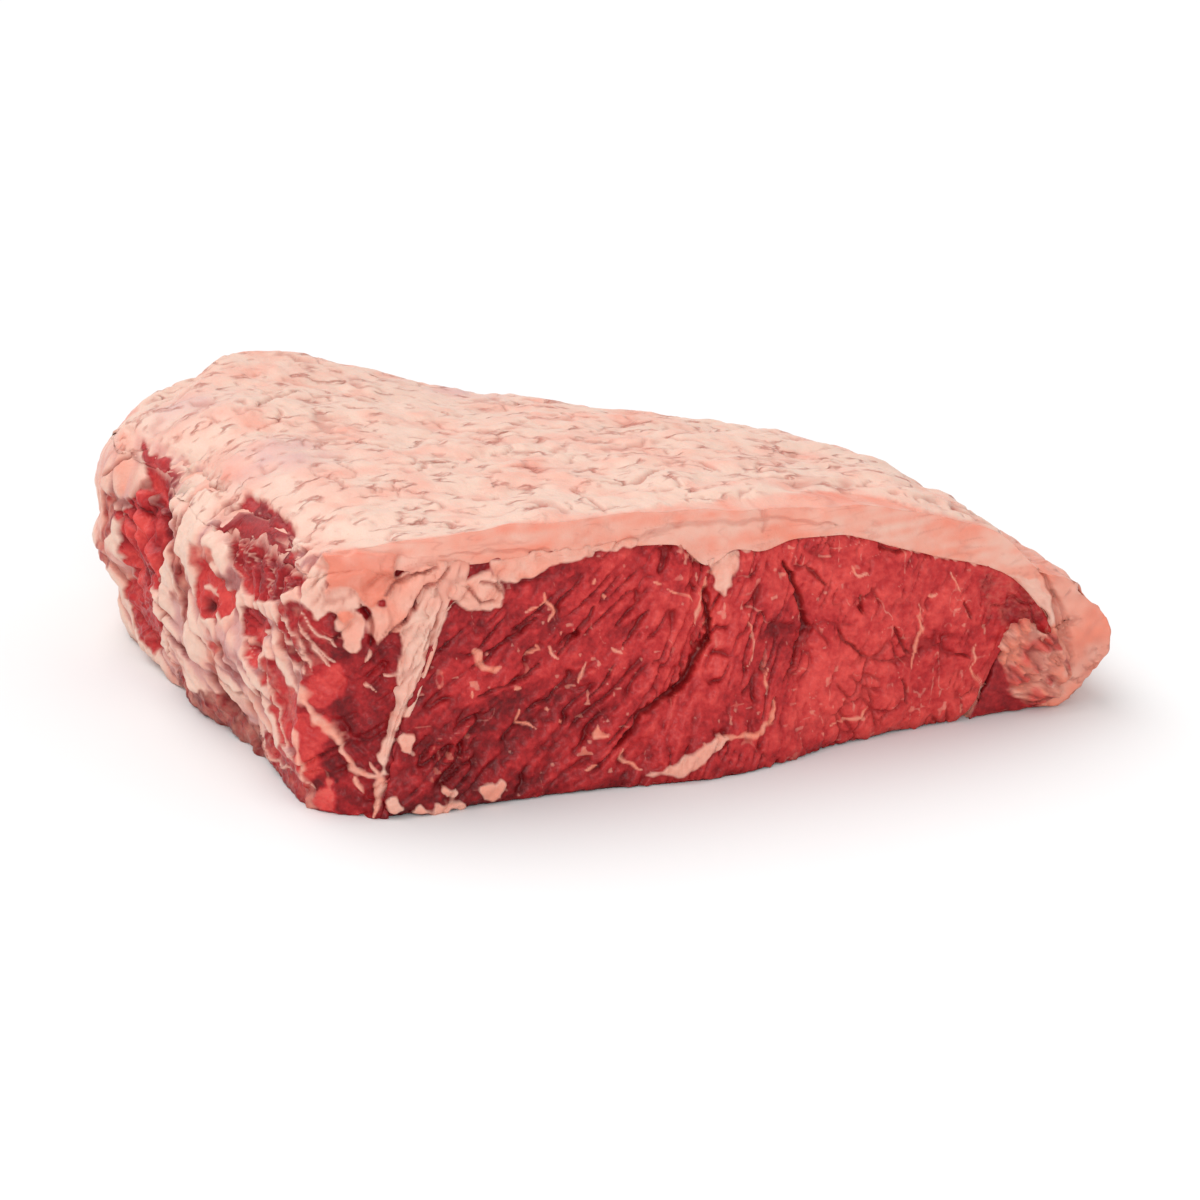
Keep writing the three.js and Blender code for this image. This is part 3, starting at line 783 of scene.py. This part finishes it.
def lay_pad(skin, p, q, outline, where, blush, lift=FLAP_LIFT, wobble=0.8):
    """A pad of fat that stands out of the lean, with painted shade in a ring round it."""
    inner = where * patch(p, q, outline, 0.6, wobble)
    outer = where * patch(p, q, outline, 1.7, wobble)
    # Painted shade: a dark ring round the foot of the raised pad.
    skin.lay("crease", 0.75, outer * (1 - inner) * 1.2)
    skin.paint(inner, crease=0, fat=1, blush=blush + 0.16 * noise(p / 3, q / 3, 3))
    skin.carve(-lift - 0.4 * noise(p / 2.4, q / 2.4, 7), inner)


def lay_bare(skin, p, q, places, where):
    """Bare places in the fat: lean of some tone, sunk a little, more or less hidden by a film of fat."""
    for tone, overlay, depth, outline in places:
        shown = where * patch(p, q, outline, 0.8, 1.3)
        threads = noise((p + q) / 1.5, (q - p) / 5, 21)
        skin.paint(shown, fat=overlay * (1 + 0.5 * noise(p / 2, q / 3, 31)), crease=0, veil=0, blush=0.7)
        skin.lay("tone", tone + 0.14 * noise(p / 4, q / 5, 4) + 0.12 * threads, shown)
        skin.carve(depth + 0.35 * threads + 0.4 * noise(p / 3, q / 3, 9), shown)


def lay_corner(skin, where):
    """The corner's muscles, with thin lines of fat between and across them."""
    x, z = skin.x, skin.z
    lay_bare(skin, x, z, CORNER_LEAN, where)
    lay_lines(skin, x, z, STRIPES, where, 0.5, 0.4)
    lay_lines(skin, x, z, CORNER_FAT, where, 0.66, 0.5)


def lay_flaps(skin, where):
    """The loose fat that hangs over the corner's muscles, streaked along its length with thin grooves that
    carry painted shade.
    """
    x, z = skin.x, skin.z
    streaks = noise((x - 0.45 * z) / 1.5, z / 9, 3)
    hair = bell(streaks / 0.16) * step(noise(x / 4, z / 6, 8), -0.3, 0.3)
    for outline, blush, lift in FLAPS:
        lay_pad(skin, x, z, outline, where, blush, lift)
        if blush < 0.8:
            inner = where * patch(x, z, outline, 0.7, 0.7)
            # Painted shade in the thin grooves along the paler flaps.
            skin.lay("crease", 0.5, hair * inner)
            skin.carve(0.5, hair * inner)
    block = where * patch(x, z, SALMON_BLOCK, 0.6, 0.8)
    skin.lay("crease", 0.22 + 0.15 * noise(x / 3, z / 3, 11), block)
    lay_gaps(skin, x, z, FLAP_GAPS, where, 1.8, 1.0)


# ---- Dressing each piece ----
def dress_cap(skin):
    """Creamy fat outside, and a smooth salmon face where the knife went through it."""
    x, y, z = skin.x, skin.y, skin.z
    front = skin.front
    rim = np.interp(x, *zip(*RIM_EDGE)) + 1.8 * noise(x / 7, 1) + 0.9 * noise(x / 2.5, y / 2.5)
    cut = np.maximum((1 - step(y, rim - 1.4, rim + 1.4)) * step(x, -10, 0), front)
    top = (1 - cut) * (1 - skin.side)
    lay_fat(skin, np.ones_like(x))
    smooth = 0.3 * noise(x / 9, z / 5, 2) + 0.14 * noise(x / 3, z / 2.5, 5)
    skin.height = lerp(skin.height, smooth - 0.5 * (1 - front), 0.9 * cut)
    ply = bell(noise(x / 9, (z - 0.04 * x) / 1.3, 31) / 0.1) * step(noise(x / 7, z / 4, 33), -0.1, 0.5)
    skin.lay("crease", 0.04 + 0.34 * ply, 0.9 * cut)
    skin.lay("wrinkle", 0.3, cut)
    layers = 0.16 * noise(x / 13, (z - 0.04 * x) / 1.7, 22)
    skin.lay("blush", 0.66 + 0.16 * noise(x / 16, y / 8, 4) + 0.12 * noise(x / 3, z / 2, 8) + layers, cut)
    for spot, size in VEIL_SPOTS:
        near = bell(np.hypot(x - spot[0], y - spot[1]) / size) * (0.6 + 0.5 * noise(x / 4, y / 4))
        skin.lay("veil", 0.85, near * top)
    lay_gaps(skin, x, y, TOP_CREASES, top * step(z, 20, 30), 1.1, 0.6)
    lobe = patch(y, z, LOBE, 2, 2) * (1 - step(x, -18, -9)) * (1 - front)
    skin.paint(lobe, blush=0.62 + 0.3 * noise(y / 6, x / 6, 2), crease=0.1)
    skin.carve(-1.2, lobe)
    lay_gaps(skin, x, z, [(1.2, CAP_CREASE), (1.8, CAP_NICK)], front, 0.5, 0.32)
    lay_flaps(skin, front * (1 - step(x, 17, 21)))
    lay_tail(skin, front)
    lay_side(skin)
    lay_window(skin, (1 - cut) * patch(x, y, RIM_WINDOW, 0.7, 0.9), 40)


def lay_tail(skin, front):
    """The flank end of the front cut: dull pink fat, and the knobbly lump under the muscle's nose."""
    x, y, z = skin.x, skin.y, skin.z
    tail = step(x, 186, 193) * (1 - step(y, 30, 70))
    skin.lay("blush", 0.9 + 0.4 * noise(x / 5, z / 5, 3), 0.85 * tail)
    skin.paint(tail, crease=0.14 + 0.2 * noise(x / 3, z / 3, 5), wrinkle=0.8)
    skin.carve(1, tail * (0.7 * noise(x / 5, z / 5, 41) + 0.35 * noise(x / 2, z / 2, 43)))
    skin.carve(1, tail * (1.8 * step(x, 203, 210) - 1.2 * step(x, 190, 199)))
    # Under the muscle's nose the lean's red is given a dark tone: painted shade on the lean's own colour.
    lay_bare(skin, x, z, [(0.28, 0.05, 1.0, UNDER_NOSE)], front)
    lay_lines(skin, x, z, [(2.4, NOSE_RIM)], front, 0.35, 0.5)
    lay_gaps(skin, x, z, [(1.8, TAIL_CREASE), (1.2, TAIL_DARK)], front, 1.6, 0.6)
    lump = front * patch(x, z, KNOBBLY_LUMP, 0.9, 1.0)
    bent = 0.9 * noise(x / 5, z / 5, 3)
    knob = blobs(x / 3.4 + bent, z / 3.6 - bent, np.full_like(x, 3.5))
    skin.lay("fat", lerp(0.95, 0.34, step(noise(x / 3.4, z / 3.4, 12), -0.25, 0.3)), lump)
    skin.paint(lump, blush=0.95 + 0.5 * noise(x / 3, z / 3, 15), tone=0.86)
    skin.carve(-1, lump * (2.0 * step(knob, 0, 0.5) + 2.2 * noise(x / 6, z / 6, 18) + 1.0))
    # Painted shade in the crevices between the raised knobs.
    skin.lay("crease", 0.8, lump * (1 - step(knob, 0.04, 0.24)))
    lay_gaps(skin, x, z, [(3.2, LUMP_GAP)], front, 3.0, 1.0)


def dress_eye(skin):
    """The eye muscle's cut face, with its marbling, grooves and bits of fat, and painted shade in its
    grooves and pits, under the cap and along its foot.
    """
    x, z = skin.x, skin.z
    front = skin.front
    lay_cut_lean(skin, front)
    lay_cut_lean(skin, skin.far, seed=60)
    lay_flecks(skin, front)
    lay_flecks(skin, skin.far, seed=7)
    nose = front * patch(x, z, NOSE, 3, 2)
    skin.paint(nose, tone=0.46 + 0.2 * noise(x / 4, z / 4), blush=0.8, fat=0.24)
    comb = front * patch(x, z, COMB, 1.5, 1.0)
    teeth = step(np.sin((x - 0.9 * z) * 2.4), 0.2, 0.9)
    # Painted shade in the comb's grooves.
    skin.lay("crease", 0.6, comb * teeth)
    skin.carve(0.5, comb * teeth)
    rough = front * patch(x, z, SPECKLED, 2, 2)
    grit = noise(x / 1.1, z / 1.1, 5)
    skin.carve(1, rough * 0.7 * step(-grit, 0.0, 0.6))
    # Painted shade in the pits of the speckled patch.
    skin.lay("crease", 0.7, rough * step(-grit, 0.1, 0.6))
    skin.lay("fat", 0.42, rough * step(grit, 0.4, 0.7))
    skin.lay("blush", 1, rough)
    roof = eye_roof(skin.a, skin.b) - skin.c
    skin.carve(1.0, np.clip(front + skin.far, 0, 1) * roll(roof / 3.5))
    # Painted shade along the top, under the fat cap.
    skin.lay("crease", 0.7, front * roll(roof / 2.5))
    rind = (1 - step(roof + 1.2 * noise(x / 3, 4) + 0.6 * noise(x / 1.2, 9), -0.2, 1.0)) * step(x, 44, 60)
    skin.paint(front * rind, fat=0.9, blush=0.75)
    foot = front * roll(np.maximum(z, 0) / 5)
    skin.carve(1.5, foot * (0.8 + 0.5 * noise(x / 5, 2)))
    # Painted shade along the foot, where the cut face meets the floor.
    skin.lay("crease", 0.5, foot)
    lay_gaps(skin, x, z, DEEP_GROOVES, front, 2.2, 0.9)
    lay_gaps(skin, x, z, LONG_SLITS, front, 1.2, 0.8)
    lay_gaps(skin, x, z, SOFT_CREASES, front, 1.2, 0.65)
    lay_lines(skin, x, z, MARBLING, front)
    lay_flaps(skin, front * (1 - step(x, 19, 22)))
    lay_pad(skin, x, z, FAT_STRIP, front, 0.66, 0.8)
    lay_pad(skin, x, z, FAT_CURL, front, 0.62, 1.5)
    lay_gaps(skin, x, z, CURL_FOLDS, front, 1.2)
    lay_pad(skin, x, z, FAT_WEDGE, front, 0.6, 0.7)
    lay_pad(skin, x, z, BOTTOM_STRIP, front, 0.7, 0.9)
    for outline in BOTTOM_BITS:
        lay_pad(skin, x, z, outline, front, 0.66, 0.8, 1.5)


def dress_seam(skin):
    """The fat seam: stringy fat that runs down between two muscles."""
    x, z = skin.x, skin.z
    cut = np.clip(skin.front + skin.far, 0, 1)
    strings = noise((x - 0.35 * z) / 1.6, z / 12, 3)
    skin.paint(1, fat=1, blush=0.55 + 0.2 * noise(x / 4, z / 6))
    skin.carve(1, cut * (0.7 * bell(strings / 0.2) - 0.4))
    # Painted shade in the grooves between the strings of fat.
    skin.lay("crease", 0.5 * bell(strings / 0.2), cut)
    lay_bare(skin, x, z, [(0.3, 0.1, 0.2, SEAM_BARE)], skin.front)
    lay_lines(skin, x, z, CORNER_FAT, skin.front, 0.66, 0.5)
    lay_flaps(skin, skin.front)
    lay_pad(skin, x, z, FAT_CURL, skin.front, 0.62, 1.5)


def dress_side(skin):
    """The backbone side: fat with windows on the lean below it, and the corner's muscles in front."""
    x, z = skin.x, skin.z
    cut = np.clip(skin.front + skin.far, 0, 1)
    skin.paint(1 - cut, fat=1, blush=0.5)
    lay_cut_lean(skin, cut, seed=90)
    lay_flecks(skin, cut, seed=9)
    lay_side(skin)
    lay_corner(skin, skin.front)
    lay_flaps(skin, skin.front)
    for outline in BOTTOM_BITS:
        lay_pad(skin, x, z, outline, skin.front, 0.66, 0.8, 1.5)
    roof = cap_underside(skin.a, skin.b) - skin.c
    skin.carve(1.2, cut * roll(roof / 3.5))


def lay_side(skin):
    """The backbone side's fat, its lean windows, the cavity and the grooves, with painted shade in its
    pits and along its foot.
    """
    y, z, side = skin.y, skin.z, skin.side
    lay_side_fat(skin, side)
    ball = side * patch(y, z, FAR_LOBE, 2, 2)
    skin.lay("blush", 0.5 + 0.3 * noise(y / 5, z / 5, 6), ball)
    wrapped = side * (1 - step(y, 22, 34)) * (1 - step(z, 30, 40))
    skin.lay("crease", 0.15, 0.7 * wrapped)
    skin.height = skin.height * (1 - np.maximum(0.5 * ball, 0.6 * wrapped))
    for outline in SIDE_WINDOWS:
        lay_window(skin, side * patch(y, z, outline, 0.7, 0.9), min(q for _, q in outline))
    lay_bare(skin, y, z, SIDE_LEAN, side)
    lay_lines(skin, y, z, SIDE_LINES, side, 0.4, 0.6)
    lay_shaggy(skin, side)
    lay_gaps(skin, y, z, SIDE_GROOVES, side, 1.8)
    for spot in SIDE_PITS:
        pit = side * bell(np.hypot(y - spot[0], z - spot[1]) / SIDE_PIT_SIZE)
        skin.carve(2, pit)
        # Painted shade in the pits.
        skin.lay("crease", 1, 1.3 * pit)
    # Painted shade along the foot, where the side meets the floor.
    skin.lay("crease", 0.6, 0.8 * side * (1 - step(z, 0, 4)))


def lay_shaggy(skin, side):
    """The deep red gash in the backbone side, and the torn bright meat below it."""
    y, z = skin.y, skin.z
    shag = side * patch(y, z, SHAGGY, 1.2, 2.2)
    split, swell = slits(y, z, 25, 9, 3.2, 83)
    # Painted shade in the splits between the torn bundles.
    skin.paint(shag, fat=0.18 * step(noise(y / 4, z / 2.2, 9), 0.3, 0.7), veil=0, crease=0.8 * split)
    # Painted light: the torn meat is brighter on its raised swells, on top of its own bright red.
    skin.lay("tone", 0.6 + 0.5 * (swell - 0.3) + 0.3 * noise(y / 5, z / 5, 2), shag)
    skin.carve(1, shag * (1.6 + 1.2 * split - 2.4 * swell))
    hollow = side * patch(y, z, CAVITY, 1.3, 1.5)
    skin.paint(hollow, fat=0, veil=0, crease=0)
    skin.lay("tone", 0.14 + 0.5 * step(y, 102, 124) + 0.25 * noise(y / 4, z / 5, 2), hollow)
    skin.carve(4.5, side * patch(y, z, CAVITY, 3.0, 1.5) * (1 - step(z, 54, 61)))


def lay_window(skin, open_part, foot):
    """A window in the fat: dark lean with pale strands across it, brighter near the foot's height."""
    y, z = skin.y, skin.z + np.maximum(0, skin.x + 38)  # z counts on over the rim
    strands, swell = slits(y, z, 14, 6, 1.6, 77)
    bent = z - 0.25 * y + 1.2 * noise(y / 6, z / 5, 3)
    pale = bell(noise(y / 6, bent / 1.5, 15) / 0.15) * step(noise(y / 4, z / 3, 5), -0.15, 0.35)
    # Painted shade: the slits between the strands are darkened.
    skin.paint(open_part, fat=0.1 + 0.5 * pale, veil=0, blush=0.5, crease=0.5 * strands)
    bright = 1 - step(skin.z, foot + 1, foot + 8)
    skin.lay("tone", 0.34 + 0.34 * bright + 0.2 * noise(y / 4, z / 4, 6), open_part)
    skin.carve(1, open_part * (1.4 + 0.7 * strands - 0.5 * swell - 0.4 * pale))


# ---- Materials ----
def node(tree, kind, inputs=(), **settings):
    """A shader node with its settings, and its inputs set to a value or linked to a socket."""
    made = tree.nodes.new(kind)
    for name, value in settings.items():
        setattr(made, name, value)
    for name, value in dict(inputs).items():
        if isinstance(value, bpy.types.NodeSocket):
            tree.links.new(value, made.inputs[name])
        else:
            made.inputs[name].default_value = value
    return made


def mask(tree, name):
    return node(tree, "ShaderNodeAttribute", attribute_name=name).outputs["Fac"]


def texture(tree, place, scale, detail=3.0, stretch=(1, 1, 1)):
    """Noise from 0 to 1, at so many waves a metre, stretched along the axes."""
    spread = node(tree, "ShaderNodeMapping", {"Vector": place, "Scale": stretch}).outputs[0]
    return node(
        tree, "ShaderNodeTexNoise", {"Vector": spread, "Scale": scale, "Detail": detail}
    ).outputs["Fac"]


def blend(tree, share, first, second):
    """Two colours mixed by a share."""
    return node(tree, "ShaderNodeMix", {0: share, 6: first, 7: second}, data_type="RGBA").outputs[2]


def ramp(tree, share, *stops):
    made = node(tree, "ShaderNodeValToRGB", {"Fac": share})
    elements = made.color_ramp.elements
    while len(elements) < len(stops):
        elements.new(0.5)
    for element, (position, colour) in zip(elements, stops):
        element.position, element.color = position, (*colour, 1)
    return made.outputs["Color"]


LEAN_DARK, LEAN_DEEP = (0.12, 0.004, 0.006), (0.26, 0.008, 0.011)
LEAN_RED, LEAN_BRIGHT = (0.44, 0.022, 0.024), (0.66, 0.068, 0.058)
FAT_CREAM, FAT_PINK, FAT_SALMON = (0.73, 0.49, 0.395), (0.74, 0.385, 0.30), (0.76, 0.235, 0.155)
# The veil colour below: silver skin on the cap's top, and painted shade in the side fat's hollows.
FAT_VEIL_AND_SHADE = (0.58, 0.33, 0.32)
# The two dark colours below: mostly painted shade in slits, grooves, gaps and pits, and partly the colour
# of real darker marks.
LEAN_SHADE_AND_MARK, FAT_SHADE_AND_MARK = (0.11, 0.002, 0.003), (0.44, 0.13, 0.095)

# Textures in waves a metre, and the depths in metres of the bumps that they make.
GRAIN_WAVES, FLECK_WAVES, MOTTLE_WAVES, WRINKLE_WAVES, WRINKLE_STRETCHES = 900, 420, 160, 120, 130
GRAIN_DEPTH, MOTTLE_DEPTH, WRINKLE_DEPTH = 0.0006, 0.0012, 0.0008


def calculate(tree, operation, *values):
    """The result of one calculation on sockets or numbers."""
    return node(tree, "ShaderNodeMath", enumerate(values), operation=operation).outputs[0]


def remap(tree, value, low, high, to_low=0.0, to_high=1.0):
    """A value brought from one range to another, and kept inside it."""
    ends = {"From Min": low, "From Max": high, "To Min": to_low, "To Max": to_high}
    return node(tree, "ShaderNodeMapRange", {"Value": value, **ends}, clamp=True).outputs[0]


def varied(tree, base, change, amount):
    """A value that a texture moves up and down, by at most half the amount each way."""
    moved = calculate(tree, "MULTIPLY_ADD", change, amount, base)
    return calculate(tree, "SUBTRACT", moved, amount / 2)


def thin_lines(tree, place):
    """Short thin wrinkles: stretches of the curves on which a noise has its middle value."""
    wave = texture(tree, place, WRINKLE_WAVES, 3, (0.7, 1.2, 1))
    shown = texture(tree, place, WRINKLE_STRETCHES, 1, (1, 1.3, 1.4))
    distance = calculate(tree, "ABSOLUTE", calculate(tree, "SUBTRACT", wave, 0.5))
    line = remap(tree, distance, 0.05, 0.005)
    present = remap(tree, shown, 0.48, 0.66, to_high=0.8)
    return calculate(tree, "MULTIPLY", line, present)


def meat_material(name, roughness, gloss, grain, soft):
    """Raw meat: masks on the mesh say where it is lean, fat or pink, and where painted shade and dark
    marks lie, and noise adds the grain.
    """
    material = bpy.data.materials.new(name)
    material.use_nodes = True
    tree = material.node_tree
    tree.nodes.clear()
    place = node(tree, "ShaderNodeTexCoord").outputs["Object"]
    fine = texture(tree, place, GRAIN_WAVES, 3)
    mottle = texture(tree, place, MOTTLE_WAVES, 4)
    fleck = texture(tree, place, FLECK_WAVES, 2, (1, 1, 1.6))
    wrinkles = calculate(tree, "MULTIPLY", thin_lines(tree, place), mask(tree, "wrinkle"))

    lean_tone = varied(tree, mask(tree, "tone"), fine, 0.5)
    lean = ramp(tree, lean_tone, (0.05, LEAN_DARK), (0.3, LEAN_DEEP), (0.56, LEAN_RED), (0.95, LEAN_BRIGHT))
    # The dark mask on the lean: mostly painted shade in slits, gaps and pits, partly real darker marks.
    lean_creased = blend(tree, mask(tree, "crease"), lean, (*LEAN_SHADE_AND_MARK, 1))

    warmth = varied(tree, mask(tree, "blush"), mottle, 0.5)
    fat = ramp(tree, warmth, (0.05, FAT_CREAM), (0.5, FAT_PINK), (1.0, FAT_SALMON))
    # The veil colour: silver skin, and painted shade in the side fat's hollows.
    fat = blend(tree, mask(tree, "veil"), fat, (*FAT_VEIL_AND_SHADE, 1))
    # Painted shade in the thin wrinkle lines, which the bump below also sinks.
    fat = blend(tree, wrinkles, fat, (*FAT_SHADE_AND_MARK, 1))
    # The dark mask on the fat: mostly painted shade in grooves, dents and gaps, partly real darker marks
    # and layers.
    fat_creased = blend(tree, mask(tree, "crease"), fat, (*FAT_SHADE_AND_MARK, 1))

    ragged = varied(tree, mask(tree, "fat"), fleck, 0.35)
    colour = blend(tree, remap(tree, ragged, 0.2, 0.9), lean_creased, fat_creased)

    grained = node(
        tree, "ShaderNodeBump", {"Height": fine, "Strength": grain, "Distance": GRAIN_DEPTH}
    ).outputs[0]
    mottled = node(
        tree,
        "ShaderNodeBump",
        {"Height": mottle, "Strength": 0.35, "Distance": MOTTLE_DEPTH, "Normal": grained},
    ).outputs[0]
    wrinkled = node(
        tree,
        "ShaderNodeBump",
        {"Height": wrinkles, "Strength": 0.8, "Distance": WRINKLE_DEPTH, "Normal": mottled},
        invert=True,
    ).outputs[0]
    surface = node(
        tree,
        "ShaderNodeBsdfPrincipled",
        {
            "Base Color": colour,
            "Roughness": remap(tree, mottle, 0, 1, *roughness),
            "Normal": wrinkled,
            "Specular IOR Level": gloss,
            "Subsurface Weight": soft,
            "Subsurface Radius": (1.0, 0.3, 0.2),
            "Subsurface Scale": 0.002,
        },
    )
    out = node(tree, "ShaderNodeOutputMaterial", {"Surface": surface.outputs[0]})
    out.is_active_output = True
    return material


# ---- Floor, light and camera ----
def make_floor():
    mesh = bpy.data.meshes.new("floor")
    half = 6.0
    corners = [(-half, -half, 0), (half, -half, 0), (half, half, 0), (-half, half, 0)]
    mesh.from_pydata(corners, [], [(0, 1, 2, 3)])
    material = bpy.data.materials.new("floor")
    material.use_nodes = True
    surface = material.node_tree.nodes["Principled BSDF"]
    surface.inputs["Base Color"].default_value = (0.8, 0.8, 0.8, 1)
    surface.inputs["Roughness"].default_value = 0.9
    surface.inputs["Specular IOR Level"].default_value = 0.1
    mesh.materials.append(material)
    floor = bpy.data.objects.new("floor", mesh)
    bpy.context.scene.collection.objects.link(floor)


def make_lamp(name, place, size, power, aim=(0, 0, 0.03)):
    """A square soft light that looks at the joint."""
    light = bpy.data.lights.new(name, "AREA")
    light.size, light.energy = size, power
    lamp = bpy.data.objects.new(name, light)
    lamp.location = place
    lamp.rotation_mode = "QUATERNION"
    lamp.rotation_quaternion = (Vector(place) - Vector(aim)).to_track_quat("Z", "Y")
    bpy.context.scene.collection.objects.link(lamp)


WORLD_STRENGTH = 0.78
SUN_STRENGTH, SUN_SPREAD, SUN_FROM = 1.7, 55, (-0.3, 0.4, 0.86)
LAMP_PLACE, LAMP_SIZE, LAMP_POWER = (-0.45, -1.3, 0.45), 0.5, 6


def make_light():
    world = bpy.data.worlds.new("studio")
    world.use_nodes = True
    world.node_tree.nodes["Background"].inputs["Color"].default_value = (1, 1, 1, 1)
    world.node_tree.nodes["Background"].inputs["Strength"].default_value = WORLD_STRENGTH
    bpy.context.scene.world = world
    sun = bpy.data.lights.new("sky", "SUN")
    sun.energy, sun.angle = SUN_STRENGTH, np.radians(SUN_SPREAD)
    above = bpy.data.objects.new("sky", sun)
    above.rotation_mode = "QUATERNION"
    above.rotation_quaternion = Vector(SUN_FROM).to_track_quat("Z", "Y")
    bpy.context.scene.collection.objects.link(above)
    make_lamp("front", LAMP_PLACE, LAMP_SIZE, LAMP_POWER)
    bpy.context.scene.view_settings.view_transform = "Standard"


CAMERA_AZIMUTH, CAMERA_ELEVATION, CAMERA_DISTANCE = np.radians(-21.6), np.radians(20.3), 1.1
CAMERA_AIM = Vector((-0.013811, -0.058729, 0.03645))
CAMERA_LENS = 121.2


def make_camera():
    camera = bpy.data.objects.new("camera", bpy.data.cameras.new("camera"))
    camera.data.lens, camera.data.sensor_width = CAMERA_LENS, 36
    level = np.cos(CAMERA_ELEVATION)
    back = Vector(
        (np.sin(CAMERA_AZIMUTH) * level, -np.cos(CAMERA_AZIMUTH) * level, np.sin(CAMERA_ELEVATION))
    )
    camera.location = CAMERA_AIM + back * CAMERA_DISTANCE
    camera.rotation_mode = "QUATERNION"
    camera.rotation_quaternion = back.to_track_quat("Z", "Y")
    bpy.context.scene.collection.objects.link(camera)
    bpy.context.scene.camera = camera


# ---- The scene ----
def add_piece(piece, slot, *nodes):
    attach(piece, "root")
    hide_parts(*nodes)


def main():
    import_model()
    fat = meat_material("raw_fat", roughness=(0.38, 0.55), gloss=0.3, grain=0.3, soft=0.12)
    lean = meat_material("raw_lean", roughness=(0.26, 0.46), gloss=0.2, grain=0.5, soft=0.08)
    cap = build(
        "cap_fat_skin", CAP_CELLS, {"under": 10, "far": 2, "right": 2},
        place_cap, dress_cap, fat,
    )
    eye = build(
        "eye_muscle_flesh", EYE_CELLS, {"far": 3, "left": 10, "over": 5, "under": 5, "right": 5},
        place_eye, dress_eye, lean,
    )
    seam = build(
        "seam_fat_strand", SEAM_CELLS, {"left": 6, "right": 6, "over": 4, "under": 4},
        place_seam, dress_seam, fat,
    )
    side = build(
        "chine_side_flesh", SIDE_CELLS, {"right": 10, "over": 6, "under": 6},
        place_side, dress_side, lean,
    )
    add_piece(cap, "cap_fat", "fat_cap")
    add_piece(eye, "lean", "eye_muscle")
    add_piece(seam, "seam_fat", "seam_fat")
    add_piece(side, "chine_fat", "side_muscle", "chine_fat")
    make_floor()
    make_light()
    make_camera()


main()
